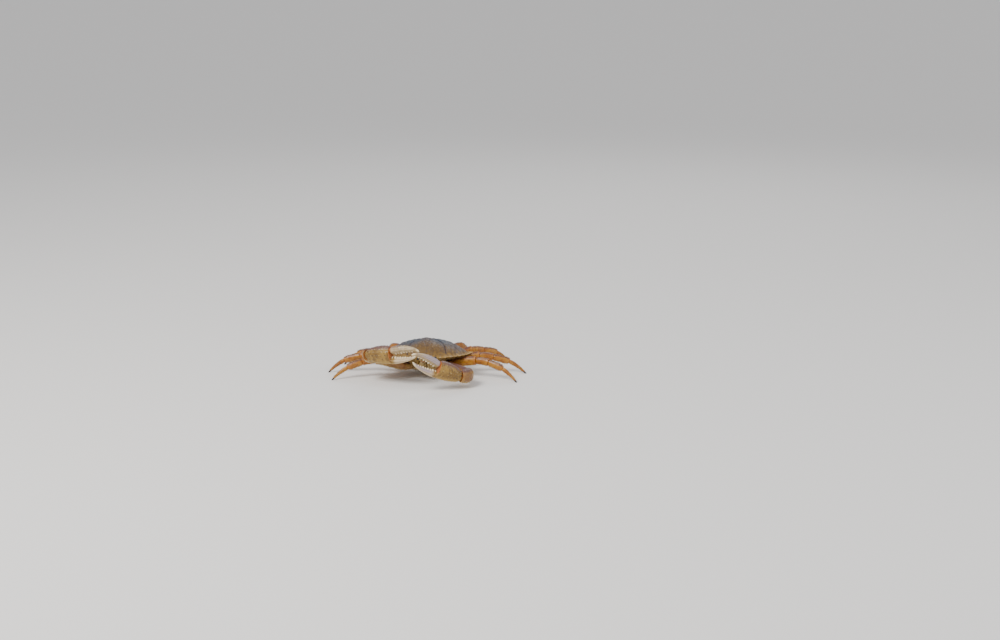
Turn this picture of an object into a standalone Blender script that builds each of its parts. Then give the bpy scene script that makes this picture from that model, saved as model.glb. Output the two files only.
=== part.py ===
"""A dungeness crab at life size, standing on its eight walking legs with both claws folded in front.

The crab faces -Y, its left side is +X and up is +Z.  Body shapes are written in the crab's own
directions (side, forward, up) from the middle of the carapace at the height of its margin, and
on_body() tips them nose-up and sets them at standing height.  Limbs are chains of segments whose
ends lie in the plane that halves each bend, so neighbours meet face to face with a thin gap.
"""

import math

import bmesh
import bpy
import numpy as np

for leftover in list(bpy.data.objects):
    bpy.data.objects.remove(leftover)

MM = 0.001
GAP = 0.3 * MM
TINY = 0.001 * MM
TAU = 2 * math.pi

# Driving sizes of the body
CARAPACE_HALF_WIDTH = 80 * MM
CARAPACE_FRONT = 58 * MM
CARAPACE_BACK = 63 * MM
CARAPACE_BACK_CUT = 49 * MM
CARAPACE_DOME = 28.5 * MM
DOME_POWER = 1.95
CARAPACE_FLOOR = 9 * MM
FLAT_REACH = 0.5
FRONT_POWER = 1.8
BACK_POWER = 1.28
BACK_CUT_POWER = 8
WIDEST_BEHIND_MIDDLE = 4 * MM
REAR_MARGIN_DROP = 6 * MM
REAR_DROP_POWER = 1.5
STANDING_HEIGHT = 40 * MM
NOSE_UP = math.radians(6)

# Swellings of the carapace's regions: side, forward, half width, half length and height, in mm
SWELLINGS = (
    (0, 20, 17, 13, 1.6),
    (0, -24, 11, 12, 1.4),
    (42, -6, 19, 20, 1.3),
    (40, 28, 13, 10, 0.9),
)

# The saw edge between the eyes and along each side of the front
BROW_HALF_WIDTH = 11 * MM
BROW_TOOTH = 4.6 * MM
BROW_TOOTH_DEPTH = 1.8 * MM
ORBIT_OUTER = 22.5 * MM
ORBIT_DEPTH = 4.5 * MM
SIDE_TEETH = 10
SIDE_TOOTH_DEPTH = 3.4 * MM
LAST_TOOTH_DEPTH = 7.5 * MM
TOOTH_BACK_SHARE = 0.7
TOOTH_ROOT_SHARE = 0.25
TOOTH_FADE = 20
TOOTH_FORWARD_WEIGHT = 1.2

# The cheeks: where the underside drops steeply beside the mouth, by the rim's distance sideways
CHEEK_INNER = (17.5 * MM, 21 * MM)
CHEEK_OUTER = (34 * MM, 42 * MM)
CHEEK_DROP = 14.5 * MM
CHEEK_FOOT_REACH = 0.68

# The breastplate that carries the legs
THORAX_HALF_WIDTH = 37 * MM
THORAX_HALF_LENGTH = 40 * MM
THORAX_MIDDLE = -8 * MM
THORAX_DEPTH = 26 * MM
HIP_DEPTH = 18.5 * MM

# Walking legs: angle of the hip round the breastplate, then for each segment its length,
# half height and half thickness
HIP_ANGLES = (17, -5, -27, -50)
LEG_BASES = ((13, 7.0, 5.6), (13, 7.0, 5.8), (13, 6.8, 5.6), (11, 5.6, 4.8))
LEG_MERI = ((46, 8.4, 5.6), (49, 8.6, 5.7), (45, 8.2, 5.5), (36, 7.0, 4.7))
LEG_CARPI = ((24, 7.0, 5.6), (25, 7.2, 5.7), (23, 6.9, 5.5), (18, 6.0, 4.7))
LEG_PROPODI = ((29, 6.4, 4.8), (31, 6.6, 4.9), (29, 6.4, 4.7), (22, 6.2, 3.7))
LEG_DACTYLS = ((36, 4.5, 3.6), (38, 4.6, 3.7), (36, 4.4, 3.6), (27, 4.8, 2.8))
TIP_HALF_HEIGHT = 1.0 * MM
TIP_HALF_THICKNESS = 0.9 * MM
TIP_TAPER = 1.3
DACTYL_ARCH = 1.6 * MM

# Stance of each leg: heading of the leg forward of straight sideways, then the pitch of the
# base, merus, carpus and dactyl; the propodus takes the pitch that puts the tip on the floor
LEFT_STANCE = (
    (21, 4, 12, -4, -38),
    (2, 4, 13, -6, -36),
    (-23, 5, 18, -8, -41),
    (-47, 7, 26, -4, -46),
)
RIGHT_STANCE = (
    (6, 4, 12, -6, -36),
    (-9, 4, 13, -4, -38),
    (-27, 5, 18, -9, -39),
    (-51, 7, 26, -6, -44),
)
LATER_HEADING = (0, 4, 9)

# Claw arms: heading and pitch of the base, the merus, the carpus where it starts and where it
# ends, and the palm; the carpus bends from the one to the other
CLAW_HIP_ANGLE = 39
ARM_LENGTHS = (14, 52, 38)
ARM_HALF_HEIGHTS = (7.6, 9.6, 12.6)
ARM_HALF_THICKNESSES = (6.4, 7.2, 10.4)
LEFT_ARM = ((46, 0), (48, -3), (80, 0), (150, 8), (165, 22))
RIGHT_ARM = ((26, 4), (6, 18), (12, 26), (95, 14), (158, 5))
PALM_LENGTH = 94 * MM
HINGE_ALONG = 0.49
HINGE_UP = 8.2 * MM
HINGE_CLEARANCE = 1.4 * MM
FINGER_LENGTH = 53 * MM
FINGER_OPEN = {"left": 9, "right": 4}
FINGER_TOOTH = 1.3 * MM
FINGER_TEETH = 6

COLOURS = {
    "carapace": ((0.20, 0.15, 0.14), 0.38),
    "thorax": ((0.66, 0.52, 0.30), 0.50),
    "abdomen": ((0.68, 0.56, 0.36), 0.50),
    "eye": ((0.02, 0.016, 0.014), 0.12),
    "antenna": ((0.40, 0.20, 0.10), 0.45),
    "maxilliped": ((0.52, 0.38, 0.16), 0.55),
    "arm": ((0.45, 0.28, 0.10), 0.42),
    "palm": ((0.58, 0.44, 0.18), 0.40),
    "finger": ((0.72, 0.66, 0.52), 0.38),
    "leg": ((0.62, 0.30, 0.07), 0.42),
}


def add_solid(name, kind, points, faces):
    """One named, closed object with its own material and its faces pointing out."""
    mesh = bpy.data.meshes.new(name)
    mesh.from_pydata([tuple(p) for p in points], [], faces)
    work = bmesh.new()
    work.from_mesh(mesh)
    bmesh.ops.recalc_face_normals(work, faces=work.faces)
    work.to_mesh(mesh)
    work.free()
    mesh.shade_smooth()
    mesh.set_sharp_from_angle(angle=math.radians(40))
    colour, roughness = COLOURS[kind]
    material = bpy.data.materials.new(name)
    material.use_nodes = True
    shader = material.node_tree.nodes["Principled BSDF"]
    shader.inputs["Base Color"].default_value = (*colour, 1)
    shader.inputs["Roughness"].default_value = roughness
    shader.inputs["Metallic"].default_value = 0
    mesh.materials.append(material)
    solid = bpy.data.objects.new(name, mesh)
    bpy.context.scene.collection.objects.link(solid)
    return solid


def loft_faces(rings, sides):
    """Quads between neighbouring rings, with a flat face across each end."""
    faces = []
    for ring in range(rings - 1):
        for side in range(sides):
            after = (side + 1) % sides
            low, high = ring * sides, (ring + 1) * sides
            faces.append((low + side, low + after, high + after, high + side))
    faces.append(tuple(range(sides)))
    faces.append(tuple((rings - 1) * sides + side for side in range(sides)))
    return faces


def on_body(points):
    """From (side, forward, up) on the body to the crab's standing place: tipped, then raised."""
    side, forward, up = np.moveaxis(np.asarray(points, float), -1, 0)
    level = forward * math.cos(NOSE_UP) - up * math.sin(NOSE_UP)
    height = forward * math.sin(NOSE_UP) + up * math.cos(NOSE_UP)
    return np.stack([side, -level, height + STANDING_HEIGHT], -1)


def signed_power(value, power):
    return np.sign(value) * np.abs(value) ** power


def smooth_margin(turn):
    """The carapace outline without teeth, turn 0 at the front and a quarter turn at the side.

    Each half is a superellipse, and the back one is cut off softly at the rear margin.
    """
    across, along = np.sin(turn), np.cos(turn)
    power = np.where(along > 0, 2 / FRONT_POWER, 2 / BACK_POWER)
    side = CARAPACE_HALF_WIDTH * signed_power(across, power)
    front = CARAPACE_FRONT * np.abs(along) ** power
    back = np.maximum(CARAPACE_BACK * np.abs(along) ** power, TINY)
    soft = float(BACK_CUT_POWER)
    back = (back**-soft + CARAPACE_BACK_CUT**-soft) ** (-1 / soft)
    forward = np.where(along > 0, front, -back) - WIDEST_BEHIND_MIDDLE
    return side, forward


ORBIT_TURN = math.asin((ORBIT_OUTER / CARAPACE_HALF_WIDTH) ** (FRONT_POWER / 2))


def margin_teeth(turn, side):
    """How far the saw edge stands out: between the eyes, at the eye notches and along the sides."""
    offset = np.abs(side)
    brow = np.abs((offset / BROW_TOOTH + 0.5) % 1 - 0.5)
    brow = BROW_TOOTH_DEPTH * (0.6 - 2 * brow)
    notch = np.clip((offset - BROW_HALF_WIDTH) / (ORBIT_OUTER - BROW_HALF_WIDTH), 0, 1)
    notch = -ORBIT_DEPTH * np.sin(math.pi * notch)
    folded = np.abs((turn + math.pi) % TAU - math.pi)
    count = (folded - ORBIT_TURN) / (math.pi / 2 - ORBIT_TURN) * (SIDE_TEETH - 1)
    phase = count % 1
    falling = 1 - phase / TOOTH_BACK_SHARE
    rising = (phase - TOOTH_BACK_SHARE) / (1 - TOOTH_BACK_SHARE)
    rise = np.where(phase < TOOTH_BACK_SHARE, falling, rising)
    last_root = SIDE_TEETH - 2 + TOOTH_BACK_SHARE
    depth = np.where(count > last_root, LAST_TOOTH_DEPTH, SIDE_TOOTH_DEPTH)
    teeth = np.where(count < last_root + 1, depth * (rise - TOOTH_ROOT_SHARE), 0)
    return np.where(offset < BROW_HALF_WIDTH, brow, np.where(offset < ORBIT_OUTER, notch, teeth))


def margin_turns():
    """Where the outline needs points on one side: at each tip and valley of the saw edge."""
    brow = [0.5 * step * BROW_TOOTH for step in range(1, 5)]
    orbit_width = ORBIT_OUTER - BROW_HALF_WIDTH
    notch = [BROW_HALF_WIDTH + share * orbit_width for share in (0.2, 0.5, 0.8)]
    near = [math.asin((x / CARAPACE_HALF_WIDTH) ** (FRONT_POWER / 2)) for x in brow + notch]
    pitch = (math.pi / 2 - ORBIT_TURN) / (SIDE_TEETH - 1)
    saw = []
    for tooth in range(SIDE_TEETH):
        for part in (0.001, TOOTH_BACK_SHARE / 2, TOOTH_BACK_SHARE):
            saw.append(ORBIT_TURN + pitch * (tooth + part))
    steps = 11
    left = math.pi - saw[-1]
    behind = [saw[-1] + left * step / steps for step in range(1, steps)]
    return near + saw + behind


def carapace_height(side, forward, reach):
    """The dome over the margin with the swellings of its regions; reach runs from 0 inside to 1 outside."""
    dome = CARAPACE_DOME * (1 - reach**DOME_POWER)
    for x, y, wide, long, high in SWELLINGS:
        spread = ((np.abs(side) / MM - x) / wide) ** 2 + ((forward / MM - y) / long) ** 2
        dome = dome + high * MM * np.exp(-spread)
    return dome * np.clip((1 - reach) * 6, 0, 1)


def ramp(value, start, end):
    """0 before start and 1 after end, straight between."""
    return np.clip((value - start) / (end - start), 0, 1)


def carapace_underside(rim, side, forward, reach):
    """A shallow slope in to the flat over the breastplate, with a steep cheek beside the mouth."""
    slope = rim + (-CARAPACE_FLOOR - rim) * (1 - reach) / (1 - FLAT_REACH)
    if reach < CHEEK_FOOT_REACH:
        return slope
    offset = np.abs(side)
    cheek = ramp(offset, *CHEEK_INNER) * (1 - ramp(offset, *CHEEK_OUTER)) * (forward > 0)
    return slope - CHEEK_DROP * cheek * (1 - reach) / (1 - CHEEK_FOOT_REACH)


TOP_REACHES = (0.25, 0.5, 0.7, 0.85, 0.94, 1.0)
UNDER_REACHES = (0.93, 0.8, CHEEK_FOOT_REACH, 0.63, FLAT_REACH)


def make_carapace():
    """The shell over the back: a toothed, domed top and a sloping underside that ends in a flat."""
    half = margin_turns()
    turn = np.array([0.0] + half + [math.pi] + [TAU - t for t in reversed(half)])
    side, forward = smooth_margin(turn)
    middle = -WIDEST_BEHIND_MIDDLE
    out = np.hypot(side, (forward - middle) * TOOTH_FORWARD_WEIGHT)
    teeth = margin_teeth(turn, side)
    rim = -REAR_MARGIN_DROP * np.clip(-np.cos(turn), 0, 1) ** REAR_DROP_POWER
    rings = []
    for number, reach in enumerate(TOP_REACHES + UNDER_REACHES):
        grown = reach * (1 + reach**TOOTH_FADE * teeth / out)
        x = side * grown
        y = middle + (forward - middle) * grown
        if number < len(TOP_REACHES):
            z = rim * reach**3 + carapace_height(x, y, reach)
        else:
            z = carapace_underside(rim, side, forward, reach)
        rings.append(np.stack([x, y, z], -1))
    top = [0, middle, carapace_height(0.0, middle, 0.0)]
    points = np.vstack([*rings, [top], [[0, middle, -CARAPACE_FLOOR]]])
    count = len(turn)
    faces = loft_faces(len(rings), count)[:-2]
    crown, foot = len(points) - 2, len(points) - 1
    last = (len(rings) - 1) * count
    for step in range(count):
        after = (step + 1) % count
        faces.append((step, after, crown))
        faces.append((last + step, last + after, foot))
    add_solid("carapace", "carapace", on_body(points), faces)


def thorax_outline(angle):
    """A point of the breastplate's ellipse and its outward direction, both (side, forward)."""
    across, along = math.cos(angle), math.sin(angle)
    place = np.array([THORAX_HALF_WIDTH * across, THORAX_MIDDLE + THORAX_HALF_LENGTH * along])
    out = np.array([across / THORAX_HALF_WIDTH, along / THORAX_HALF_LENGTH])
    return place, out / np.linalg.norm(out)


def make_thorax():
    """The breastplate between the legs: an ellipse in plan, narrower at the bottom."""
    sides = 36
    angles = [TAU * step / sides for step in range(sides)]
    levels = (
        (CARAPACE_FLOOR + GAP, 0.93),
        (0.5 * THORAX_DEPTH, 1.0),
        (0.85 * THORAX_DEPTH, 0.98),
        (THORAX_DEPTH, 0.82),
    )
    rings = []
    for depth, share in levels:
        for angle in angles:
            place, _ = thorax_outline(angle)
            forward = THORAX_MIDDLE + (place[1] - THORAX_MIDDLE) * share
            rings.append((place[0] * share, forward, -depth))
    add_solid("thorax", "thorax", on_body(rings), loft_faces(len(levels), sides))


def make_abdomen():
    """The narrow tail flap, hinged at the rear margin and folded forward under the breastplate."""
    under = THORAX_DEPTH + GAP
    stations = (
        (-52.0 * MM, -11.5 * MM, 15 * MM, 1.2 * MM),
        (-53.5 * MM, -20 * MM, 14.5 * MM, 1.6 * MM),
        (-46 * MM, -under - 1.7 * MM, 13.5 * MM, 1.7 * MM),
        (-30 * MM, -under - 1.7 * MM, 11.5 * MM, 1.7 * MM),
        (-14 * MM, -under - 1.7 * MM, 8 * MM, 1.7 * MM),
        (2 * MM, -under - 1.6 * MM, 5 * MM, 1.5 * MM),
        (9 * MM, -under - 1.5 * MM, 2.2 * MM, 1.2 * MM),
    )
    sides = 12
    path = np.array([(forward, up) for forward, up, _, _ in stations])
    along = np.gradient(path, axis=0)
    along /= np.linalg.norm(along, axis=1)[:, None]
    rings = []
    for (forward, up, wide, thick), (run, rise) in zip(stations, along, strict=True):
        for side in range(sides):
            angle = TAU * side / sides
            x = wide * signed_power(math.cos(angle), 0.7)
            off = thick * signed_power(math.sin(angle), 0.7)
            rings.append((x, forward - rise * off, up + run * off))
    add_solid("abdomen", "abdomen", on_body(rings), loft_faces(len(stations), sides))


def tube(name, kind, path, radii, sides):
    """A round tube through a body path, with a radius at each point."""
    path = np.array(path, float)
    along = np.gradient(path, axis=0)
    rings = []
    for centre, way, radius in zip(path, along, radii, strict=True):
        way = way / np.linalg.norm(way)
        first = np.cross(way, (0, 0, 1.0))
        first /= np.linalg.norm(first)
        second = np.cross(way, first)
        for side in range(sides):
            angle = TAU * side / sides
            rings.append(centre + radius * (math.cos(angle) * first + math.sin(angle) * second))
    add_solid(name, kind, on_body(rings), loft_faces(len(path), sides))


# The face, in millimetres on the body: side, forward, up
EYE_ROOT = (10.5, 51.0, -4.2)
EYE_TIP = (17.5, 57.6, 1.6)
EYE_RADII = (
    (0, 1.3),
    (0.3, 1.4),
    (0.52, 1.7),
    (0.62, 2.6),
    (0.74, 3.0),
    (0.86, 2.7),
    (0.95, 1.8),
    (1, 0.7),
)
FEELER_ROUTE = (
    (8.2, 50, -6.2),
    (8.8, 54, -6.2),
    (9.6, 58, -5.6),
    (11, 62, -3.6),
    (12.6, 66, -0.6),
    (14.6, 70, 3.2),
)
FEELER_RADII = (1.9, 1.7, 1.2, 0.7, 0.5, 0.3)

# One leaf of the mouth's doors from top to bottom: forward, up, half width, half thickness
MOUTH_LEAF_SIDE = 6.3
MOUTH_LEAF = (
    (39.5, -8.2, 4.6, 1.8),
    (40.5, -11, 5.6, 2.4),
    (39, -16, 5.9, 2.6),
    (37, -21, 5.6, 2.5),
    (35, -25, 4.2, 1.8),
)


def make_face(sign, side_name):
    """An eye on its stalk, a feeler and one leaf of the mouth's doors."""
    root, tip = np.array(EYE_ROOT), np.array(EYE_TIP)
    path = [(root + (tip - root) * share) * (sign * MM, MM, MM) for share, _ in EYE_RADII]
    tube(f"eye_{side_name}", "eye", path, [radius * MM for _, radius in EYE_RADII], 10)
    path = [(x * sign * MM, y * MM, z * MM) for x, y, z in FEELER_ROUTE]
    tube(f"antenna_{side_name}", "antenna", path, [r * MM for r in FEELER_RADII], 8)
    sides = 12
    rings = []
    for forward, up, wide, thick in MOUTH_LEAF:
        for side in range(sides):
            angle = TAU * side / sides
            x = sign * (MOUTH_LEAF_SIDE + wide * signed_power(math.cos(angle), 0.7))
            y = forward + thick * signed_power(math.sin(angle), 0.8)
            rings.append((x * MM, y * MM, up * MM))
    add_solid(f"maxilliped_{side_name}", "maxilliped", on_body(rings), loft_faces(len(MOUTH_LEAF), sides))


def heading(sign, forward_angle, pitch):
    """A unit direction: forward_angle ahead of straight sideways, pitch above level, in degrees."""
    ahead, rise = math.radians(forward_angle), math.radians(pitch)
    flat = math.cos(rise)
    return np.array([sign * math.cos(ahead) * flat, -math.sin(ahead) * flat, math.sin(rise)])


def section_frame(along):
    """The upward and the sideways direction of a section across a limb."""
    up = np.array([0, 0, 1.0]) - along[2] * along
    up /= np.linalg.norm(up)
    return up, np.cross(along, up)


def between(first, second):
    """The direction half-way between two, normal to the plane that halves the bend."""
    total = first + second
    return total / np.linalg.norm(total)


def add_segment(name, kind, start, along, length, planes, shape, sides=8):
    """A limb segment between two planes through its joints.

    shape gives rows of (share of the length, half height, half thickness, lift of the middle).
    Each lengthwise line of the surface runs from the first plane to the second, so both ends
    are flat, whatever the angle of the plane.
    """
    up, across = section_frame(along)
    (first, first_gap), (second, second_gap) = planes
    rings = []
    for share, high, thick, lift in shape:
        for side in range(sides):
            angle = TAU * (side + 0.5) / sides
            off = up * (high * signed_power(math.sin(angle), 0.85) + lift)
            off = off + across * thick * signed_power(math.cos(angle), 0.9)
            begin = (first_gap - off @ first) / (along @ first)
            finish = length - (second_gap + off @ second) / (along @ second)
            rings.append(start + off + along * (begin + (finish - begin) * share))
    add_solid(name, kind, rings, loft_faces(len(shape), sides))


def belly_shape(high, thick, root, end, swell=1.0):
    """Section sizes of a segment that is narrow at its root, fullest past the middle, then narrower."""
    filling = 0.5 * (root + swell)
    sizes = ((0, root), (0.18, filling), (0.5, swell), (0.82, swell), (1.0, end))
    return [(share, high * size, thick * min(1, size + 0.06), 0) for share, size in sizes]


def hip(sign, angle):
    """Where a limb leaves the breastplate: the point and the outward direction, standing."""
    place, out = thorax_outline(math.radians(angle))
    point = on_body((place[0] * sign, place[1], -HIP_DEPTH))
    away = np.array([sign * out[0], -out[1] * math.cos(NOSE_UP), out[1] * math.sin(NOSE_UP)])
    return point, away


def make_leg(sign, side_name, number, stance):
    """A walking leg from hip to tip; the propodus is pitched so that the tip is on the floor."""
    ahead, base_pitch, merus_pitch, carpus_pitch, dactyl_pitch = stance
    sizes = [rows[number] for rows in (LEG_BASES, LEG_MERI, LEG_CARPI, LEG_PROPODI, LEG_DACTYLS)]
    lengths = [row[0] * MM for row in sizes]
    joint, away = hip(sign, HIP_ANGLES[number])
    pitches = [base_pitch, merus_pitch, carpus_pitch, 0, dactyl_pitch]
    fall = joint[2] + sum(
        length * math.sin(math.radians(pitch)) for length, pitch in zip(lengths, pitches, strict=True)
    )
    pitches[3] = -math.degrees(math.asin(fall / lengths[3]))
    turns = (0, 0, *(later * (-1 if number == 3 else 1) for later in LATER_HEADING))
    ways = [heading(sign, ahead + turn, pitch) for turn, pitch in zip(turns, pitches, strict=True)]
    floor = np.array([0, 0, -1.0])
    planes = [(away, GAP)]
    planes += [(between(ways[step], ways[step + 1]), GAP / 2) for step in range(4)]
    planes += [(floor, 0)]
    names = ("base", "merus", "carpus", "propodus", "dactyl")
    ends = ((1.0, 0.86), (0.8, 0.8), (0.86, 0.92), (0.84, 0.7))
    for step in range(5):
        _, high, thick = sizes[step]
        high, thick = high * MM, thick * MM
        if step < 4:
            shape = belly_shape(high, thick, *ends[step])
        else:
            shape = []
            for share in (0, 0.25, 0.5, 0.75, 1.0):
                tall = high + (TIP_HALF_HEIGHT - high) * share**TIP_TAPER
                slim = thick + (TIP_HALF_THICKNESS - thick) * share**TIP_TAPER
                shape.append((share, tall, slim, DACTYL_ARCH * math.sin(math.pi * share)))
        node = f"leg_{side_name}_{number + 1}_{names[step]}"
        add_segment(node, "leg", joint, ways[step], lengths[step], planes[step : step + 2], shape)
        joint = joint + ways[step] * lengths[step]


def finger_edge(share, teeth, depth):
    """Teeth along a cutting edge: rounded knobs that fade out at both ends."""
    knob = abs(math.sin(math.pi * share * teeth))
    return depth * knob * math.sin(math.pi * min(1, max(0, share))) ** 0.5


def make_claw(sign, side_name, arm):
    """A claw arm: base, merus, carpus, then the palm with its fixed finger, and the hinged finger."""
    joint, away = hip(sign, CLAW_HIP_ANGLE)
    base_way, merus_way, carpus_in, carpus_out, palm_way = (heading(sign, *turn) for turn in arm)
    planes = [(away, GAP)]
    planes += [(between(*bend), GAP / 2) for bend in ((base_way, merus_way), (merus_way, carpus_in))]
    ends = ((1.0, 0.95), (0.8, 0.95))
    for step, (part, way) in enumerate((("base", base_way), ("merus", merus_way))):
        high, thick = ARM_HALF_HEIGHTS[step] * MM, ARM_HALF_THICKNESSES[step] * MM
        shape = belly_shape(high, thick, *ends[step])
        length = ARM_LENGTHS[step] * MM
        node = f"claw_{side_name}_{part}"
        add_segment(node, "arm", joint, way, length, planes[step : step + 2], shape, 10)
        joint = joint + way * length
    wrist_plane = (between(carpus_out, palm_way), GAP / 2)
    wrist = make_carpus(side_name, joint, (carpus_in, carpus_out), (planes[2], wrist_plane))
    make_palm(side_name, wrist, palm_way, wrist_plane)
    make_finger(side_name, wrist, palm_way)


def make_carpus(side_name, elbow, ways, planes):
    """The knobbly, bent segment of the arm, along a curve from the elbow to the wrist."""
    half = 0.5 * ARM_LENGTHS[2] * MM
    corner = elbow + ways[0] * half
    wrist = corner + ways[1] * half
    high, thick = ARM_HALF_HEIGHTS[2] * MM, ARM_HALF_THICKNESSES[2] * MM
    rows = ((0, 0.74), (0.2, 0.92), (0.45, 1.0), (0.75, 0.98), (1, 0.82))
    rings = []
    sides = 10
    for share, size in rows:
        middle = elbow * (1 - share) ** 2 + corner * 2 * share * (1 - share) + wrist * share**2
        way = between(ways[0] * (1 - share), ways[1] * share)
        up, across = section_frame(way)
        normal, lift = way, 0
        if share == 0:
            normal, lift = planes[0]
        elif share == 1:
            normal, lift = planes[1][0], -planes[1][1]
        for side in range(sides):
            angle = TAU * (side + 0.5) / sides
            off = up * high * size * signed_power(math.sin(angle), 0.85)
            off = off + across * thick * size * signed_power(math.cos(angle), 0.9)
            rings.append(middle + off + way * (lift - off @ normal) / (way @ normal))
    add_solid(f"claw_{side_name}_carpus", "arm", rings, loft_faces(len(rows), sides))
    return wrist


# Outline of the palm and fixed finger: share of the length, top, bottom, half thickness
PALM_OUTLINE = (
    (0.00, 8.6, -8.6, 7.4),
    (0.07, 12.0, -11.8, 9.2),
    (0.20, 15.6, -14.8, 10.7),
    (0.34, 17.0, -16.2, 11.0),
    (0.44, 16.8, -16.5, 10.5),
    (0.475, 15.2, -16.6, 10.0),
)
FIXED_FINGER_OUTLINE = (
    (0.50, -3.6, -16.4, 8.6),
    (0.62, -4.8, -15.8, 7.4),
    (0.76, -5.0, -13.4, 6.0),
    (0.90, -4.0, -9.2, 3.9),
    (0.97, -2.2, -5.8, 2.2),
    (1.00, -1.0, -2.8, 0.9),
)
HINGED_FINGER_OUTLINE = (
    (0.00, 4.4, -4.2, 5.6),
    (0.06, 6.4, -5.8, 7.0),
    (0.20, 7.2, -6.0, 7.2),
    (0.45, 6.8, -4.8, 6.0),
    (0.70, 4.2, -4.8, 4.6),
    (0.90, -0.4, -5.4, 2.9),
    (1.00, -5.0, -6.8, 0.9),
)


def read_outline(outline, share):
    """Top, bottom and half thickness at a share of the length, straight between the rows."""
    table = np.array(outline)
    return [float(np.interp(share, table[:, 0], table[:, column])) * MM for column in (1, 2, 3)]


def outline_rings(shares, outline, length, edge, sides=12):
    """Rings of (along, up, across) points; edge adds teeth to the top (1) or bottom (-1) edge."""
    rings = []
    for share in shares:
        top, bottom, thick = read_outline(outline, share)
        begin = outline[0][0]
        place = (share - begin) / (outline[-1][0] - begin)
        if edge > 0:
            top += finger_edge(place, FINGER_TEETH, FINGER_TOOTH)
        elif edge < 0:
            bottom -= finger_edge(place, FINGER_TEETH, FINGER_TOOTH)
        for side in range(sides):
            angle = TAU * side / sides
            up = 0.5 * (top + bottom) + 0.5 * (top - bottom) * signed_power(math.sin(angle), 0.9)
            rings.append((share * length, up, thick * signed_power(math.cos(angle), 0.85)))
    return rings


def make_palm(side_name, wrist, along, plane):
    """The broad palm, ending below in the toothed fixed finger."""
    up, across = section_frame(along)
    palm_shares = [row[0] for row in PALM_OUTLINE]
    steps = 2 * FINGER_TEETH
    first, last = FIXED_FINGER_OUTLINE[0][0], FIXED_FINGER_OUTLINE[-1][0]
    finger_shares = [first + (last - first) * step / steps for step in range(steps + 1)]
    rings = outline_rings(palm_shares, PALM_OUTLINE, PALM_LENGTH, 0)
    rings += outline_rings(finger_shares, FIXED_FINGER_OUTLINE, PALM_LENGTH, 1)
    normal, gap = plane
    wrist_span = PALM_OUTLINE[3][0] * PALM_LENGTH
    points = []
    for run, rise, off in rings:
        offset = up * rise + across * off
        begin = (gap - offset @ normal) / (along @ normal)
        run += begin * max(0, 1 - run / wrist_span)
        points.append(wrist + offset + along * run)
    faces = loft_faces(len(palm_shares) + len(finger_shares), 12)
    add_solid(f"claw_{side_name}_palm", "palm", points, faces)


def make_finger(side_name, wrist, along):
    """The hinged finger over the fixed one, swung open about its hinge."""
    up, across = section_frame(along)
    hinge = wrist + along * (HINGE_ALONG * PALM_LENGTH + HINGE_CLEARANCE) + up * HINGE_UP
    swing = math.radians(FINGER_OPEN[side_name])
    reach = along * math.cos(swing) + up * math.sin(swing)
    lift = up * math.cos(swing) - along * math.sin(swing)
    steps = 2 * FINGER_TEETH + 2
    shares = [step / steps for step in range(steps + 1)]
    rings = outline_rings(shares, HINGED_FINGER_OUTLINE, FINGER_LENGTH, -1)
    points = [hinge + reach * run + lift * rise + across * off for run, rise, off in rings]
    add_solid(f"claw_{side_name}_finger", "finger", points, loft_faces(len(shares), 12))


def centre_on_floor():
    """Moves the whole crab so that the middle of its box stands over the origin."""
    corners = []
    for solid in bpy.context.scene.objects:
        places = np.empty(len(solid.data.vertices) * 3)
        solid.data.vertices.foreach_get("co", places)
        corners += [places.reshape(-1, 3).min(0), places.reshape(-1, 3).max(0)]
    low, high = np.min(corners, 0), np.max(corners, 0)
    for solid in bpy.context.scene.objects:
        places = np.empty(len(solid.data.vertices) * 3)
        solid.data.vertices.foreach_get("co", places)
        moved = places.reshape(-1, 3) - ((low + high) / 2 * (1, 1, 0))
        solid.data.vertices.foreach_set("co", moved.ravel())


make_carapace()
make_thorax()
make_abdomen()
LEFT_HALF = (1, "left", LEFT_STANCE, LEFT_ARM)
RIGHT_HALF = (-1, "right", RIGHT_STANCE, RIGHT_ARM)
for sign, side_name, stances, arm in (LEFT_HALF, RIGHT_HALF):
    make_face(sign, side_name)
    make_claw(sign, side_name, arm)
    for number, stance in enumerate(stances):
        make_leg(sign, side_name, number, stance)
centre_on_floor()
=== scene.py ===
"""A dungeness crab as a still museum model at life size, standing on its legs with both claws folded.

Shapes are worked out in millimetres and become metres when their mesh is made.  On the body they are
written as (side, forward, up) from the middle of the carapace at the height of its margin.
"""

import math

import bpy
import numpy as np
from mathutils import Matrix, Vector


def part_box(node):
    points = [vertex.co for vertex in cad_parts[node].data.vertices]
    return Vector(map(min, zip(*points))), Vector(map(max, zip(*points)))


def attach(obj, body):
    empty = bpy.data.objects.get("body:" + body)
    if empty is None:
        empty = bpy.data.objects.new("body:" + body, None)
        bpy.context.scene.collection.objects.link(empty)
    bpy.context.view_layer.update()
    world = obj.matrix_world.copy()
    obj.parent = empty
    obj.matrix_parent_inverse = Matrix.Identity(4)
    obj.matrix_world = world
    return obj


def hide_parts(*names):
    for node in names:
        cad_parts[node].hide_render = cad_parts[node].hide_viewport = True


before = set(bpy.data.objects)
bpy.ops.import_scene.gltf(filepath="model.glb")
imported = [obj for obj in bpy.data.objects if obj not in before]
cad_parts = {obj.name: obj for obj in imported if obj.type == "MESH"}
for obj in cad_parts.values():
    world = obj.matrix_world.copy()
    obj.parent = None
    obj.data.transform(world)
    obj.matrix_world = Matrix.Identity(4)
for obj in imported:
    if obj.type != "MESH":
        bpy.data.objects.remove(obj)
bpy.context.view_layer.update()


# The carapace, the one broad plate over the back.  It is hard, finely beaded chitin, domed over the
# swellings of the organs below, with a saw edge in front, and under that edge it turns in to the mouth
# and to the roots of the legs.
MM = 0.001
TAU = 2 * math.pi
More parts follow.
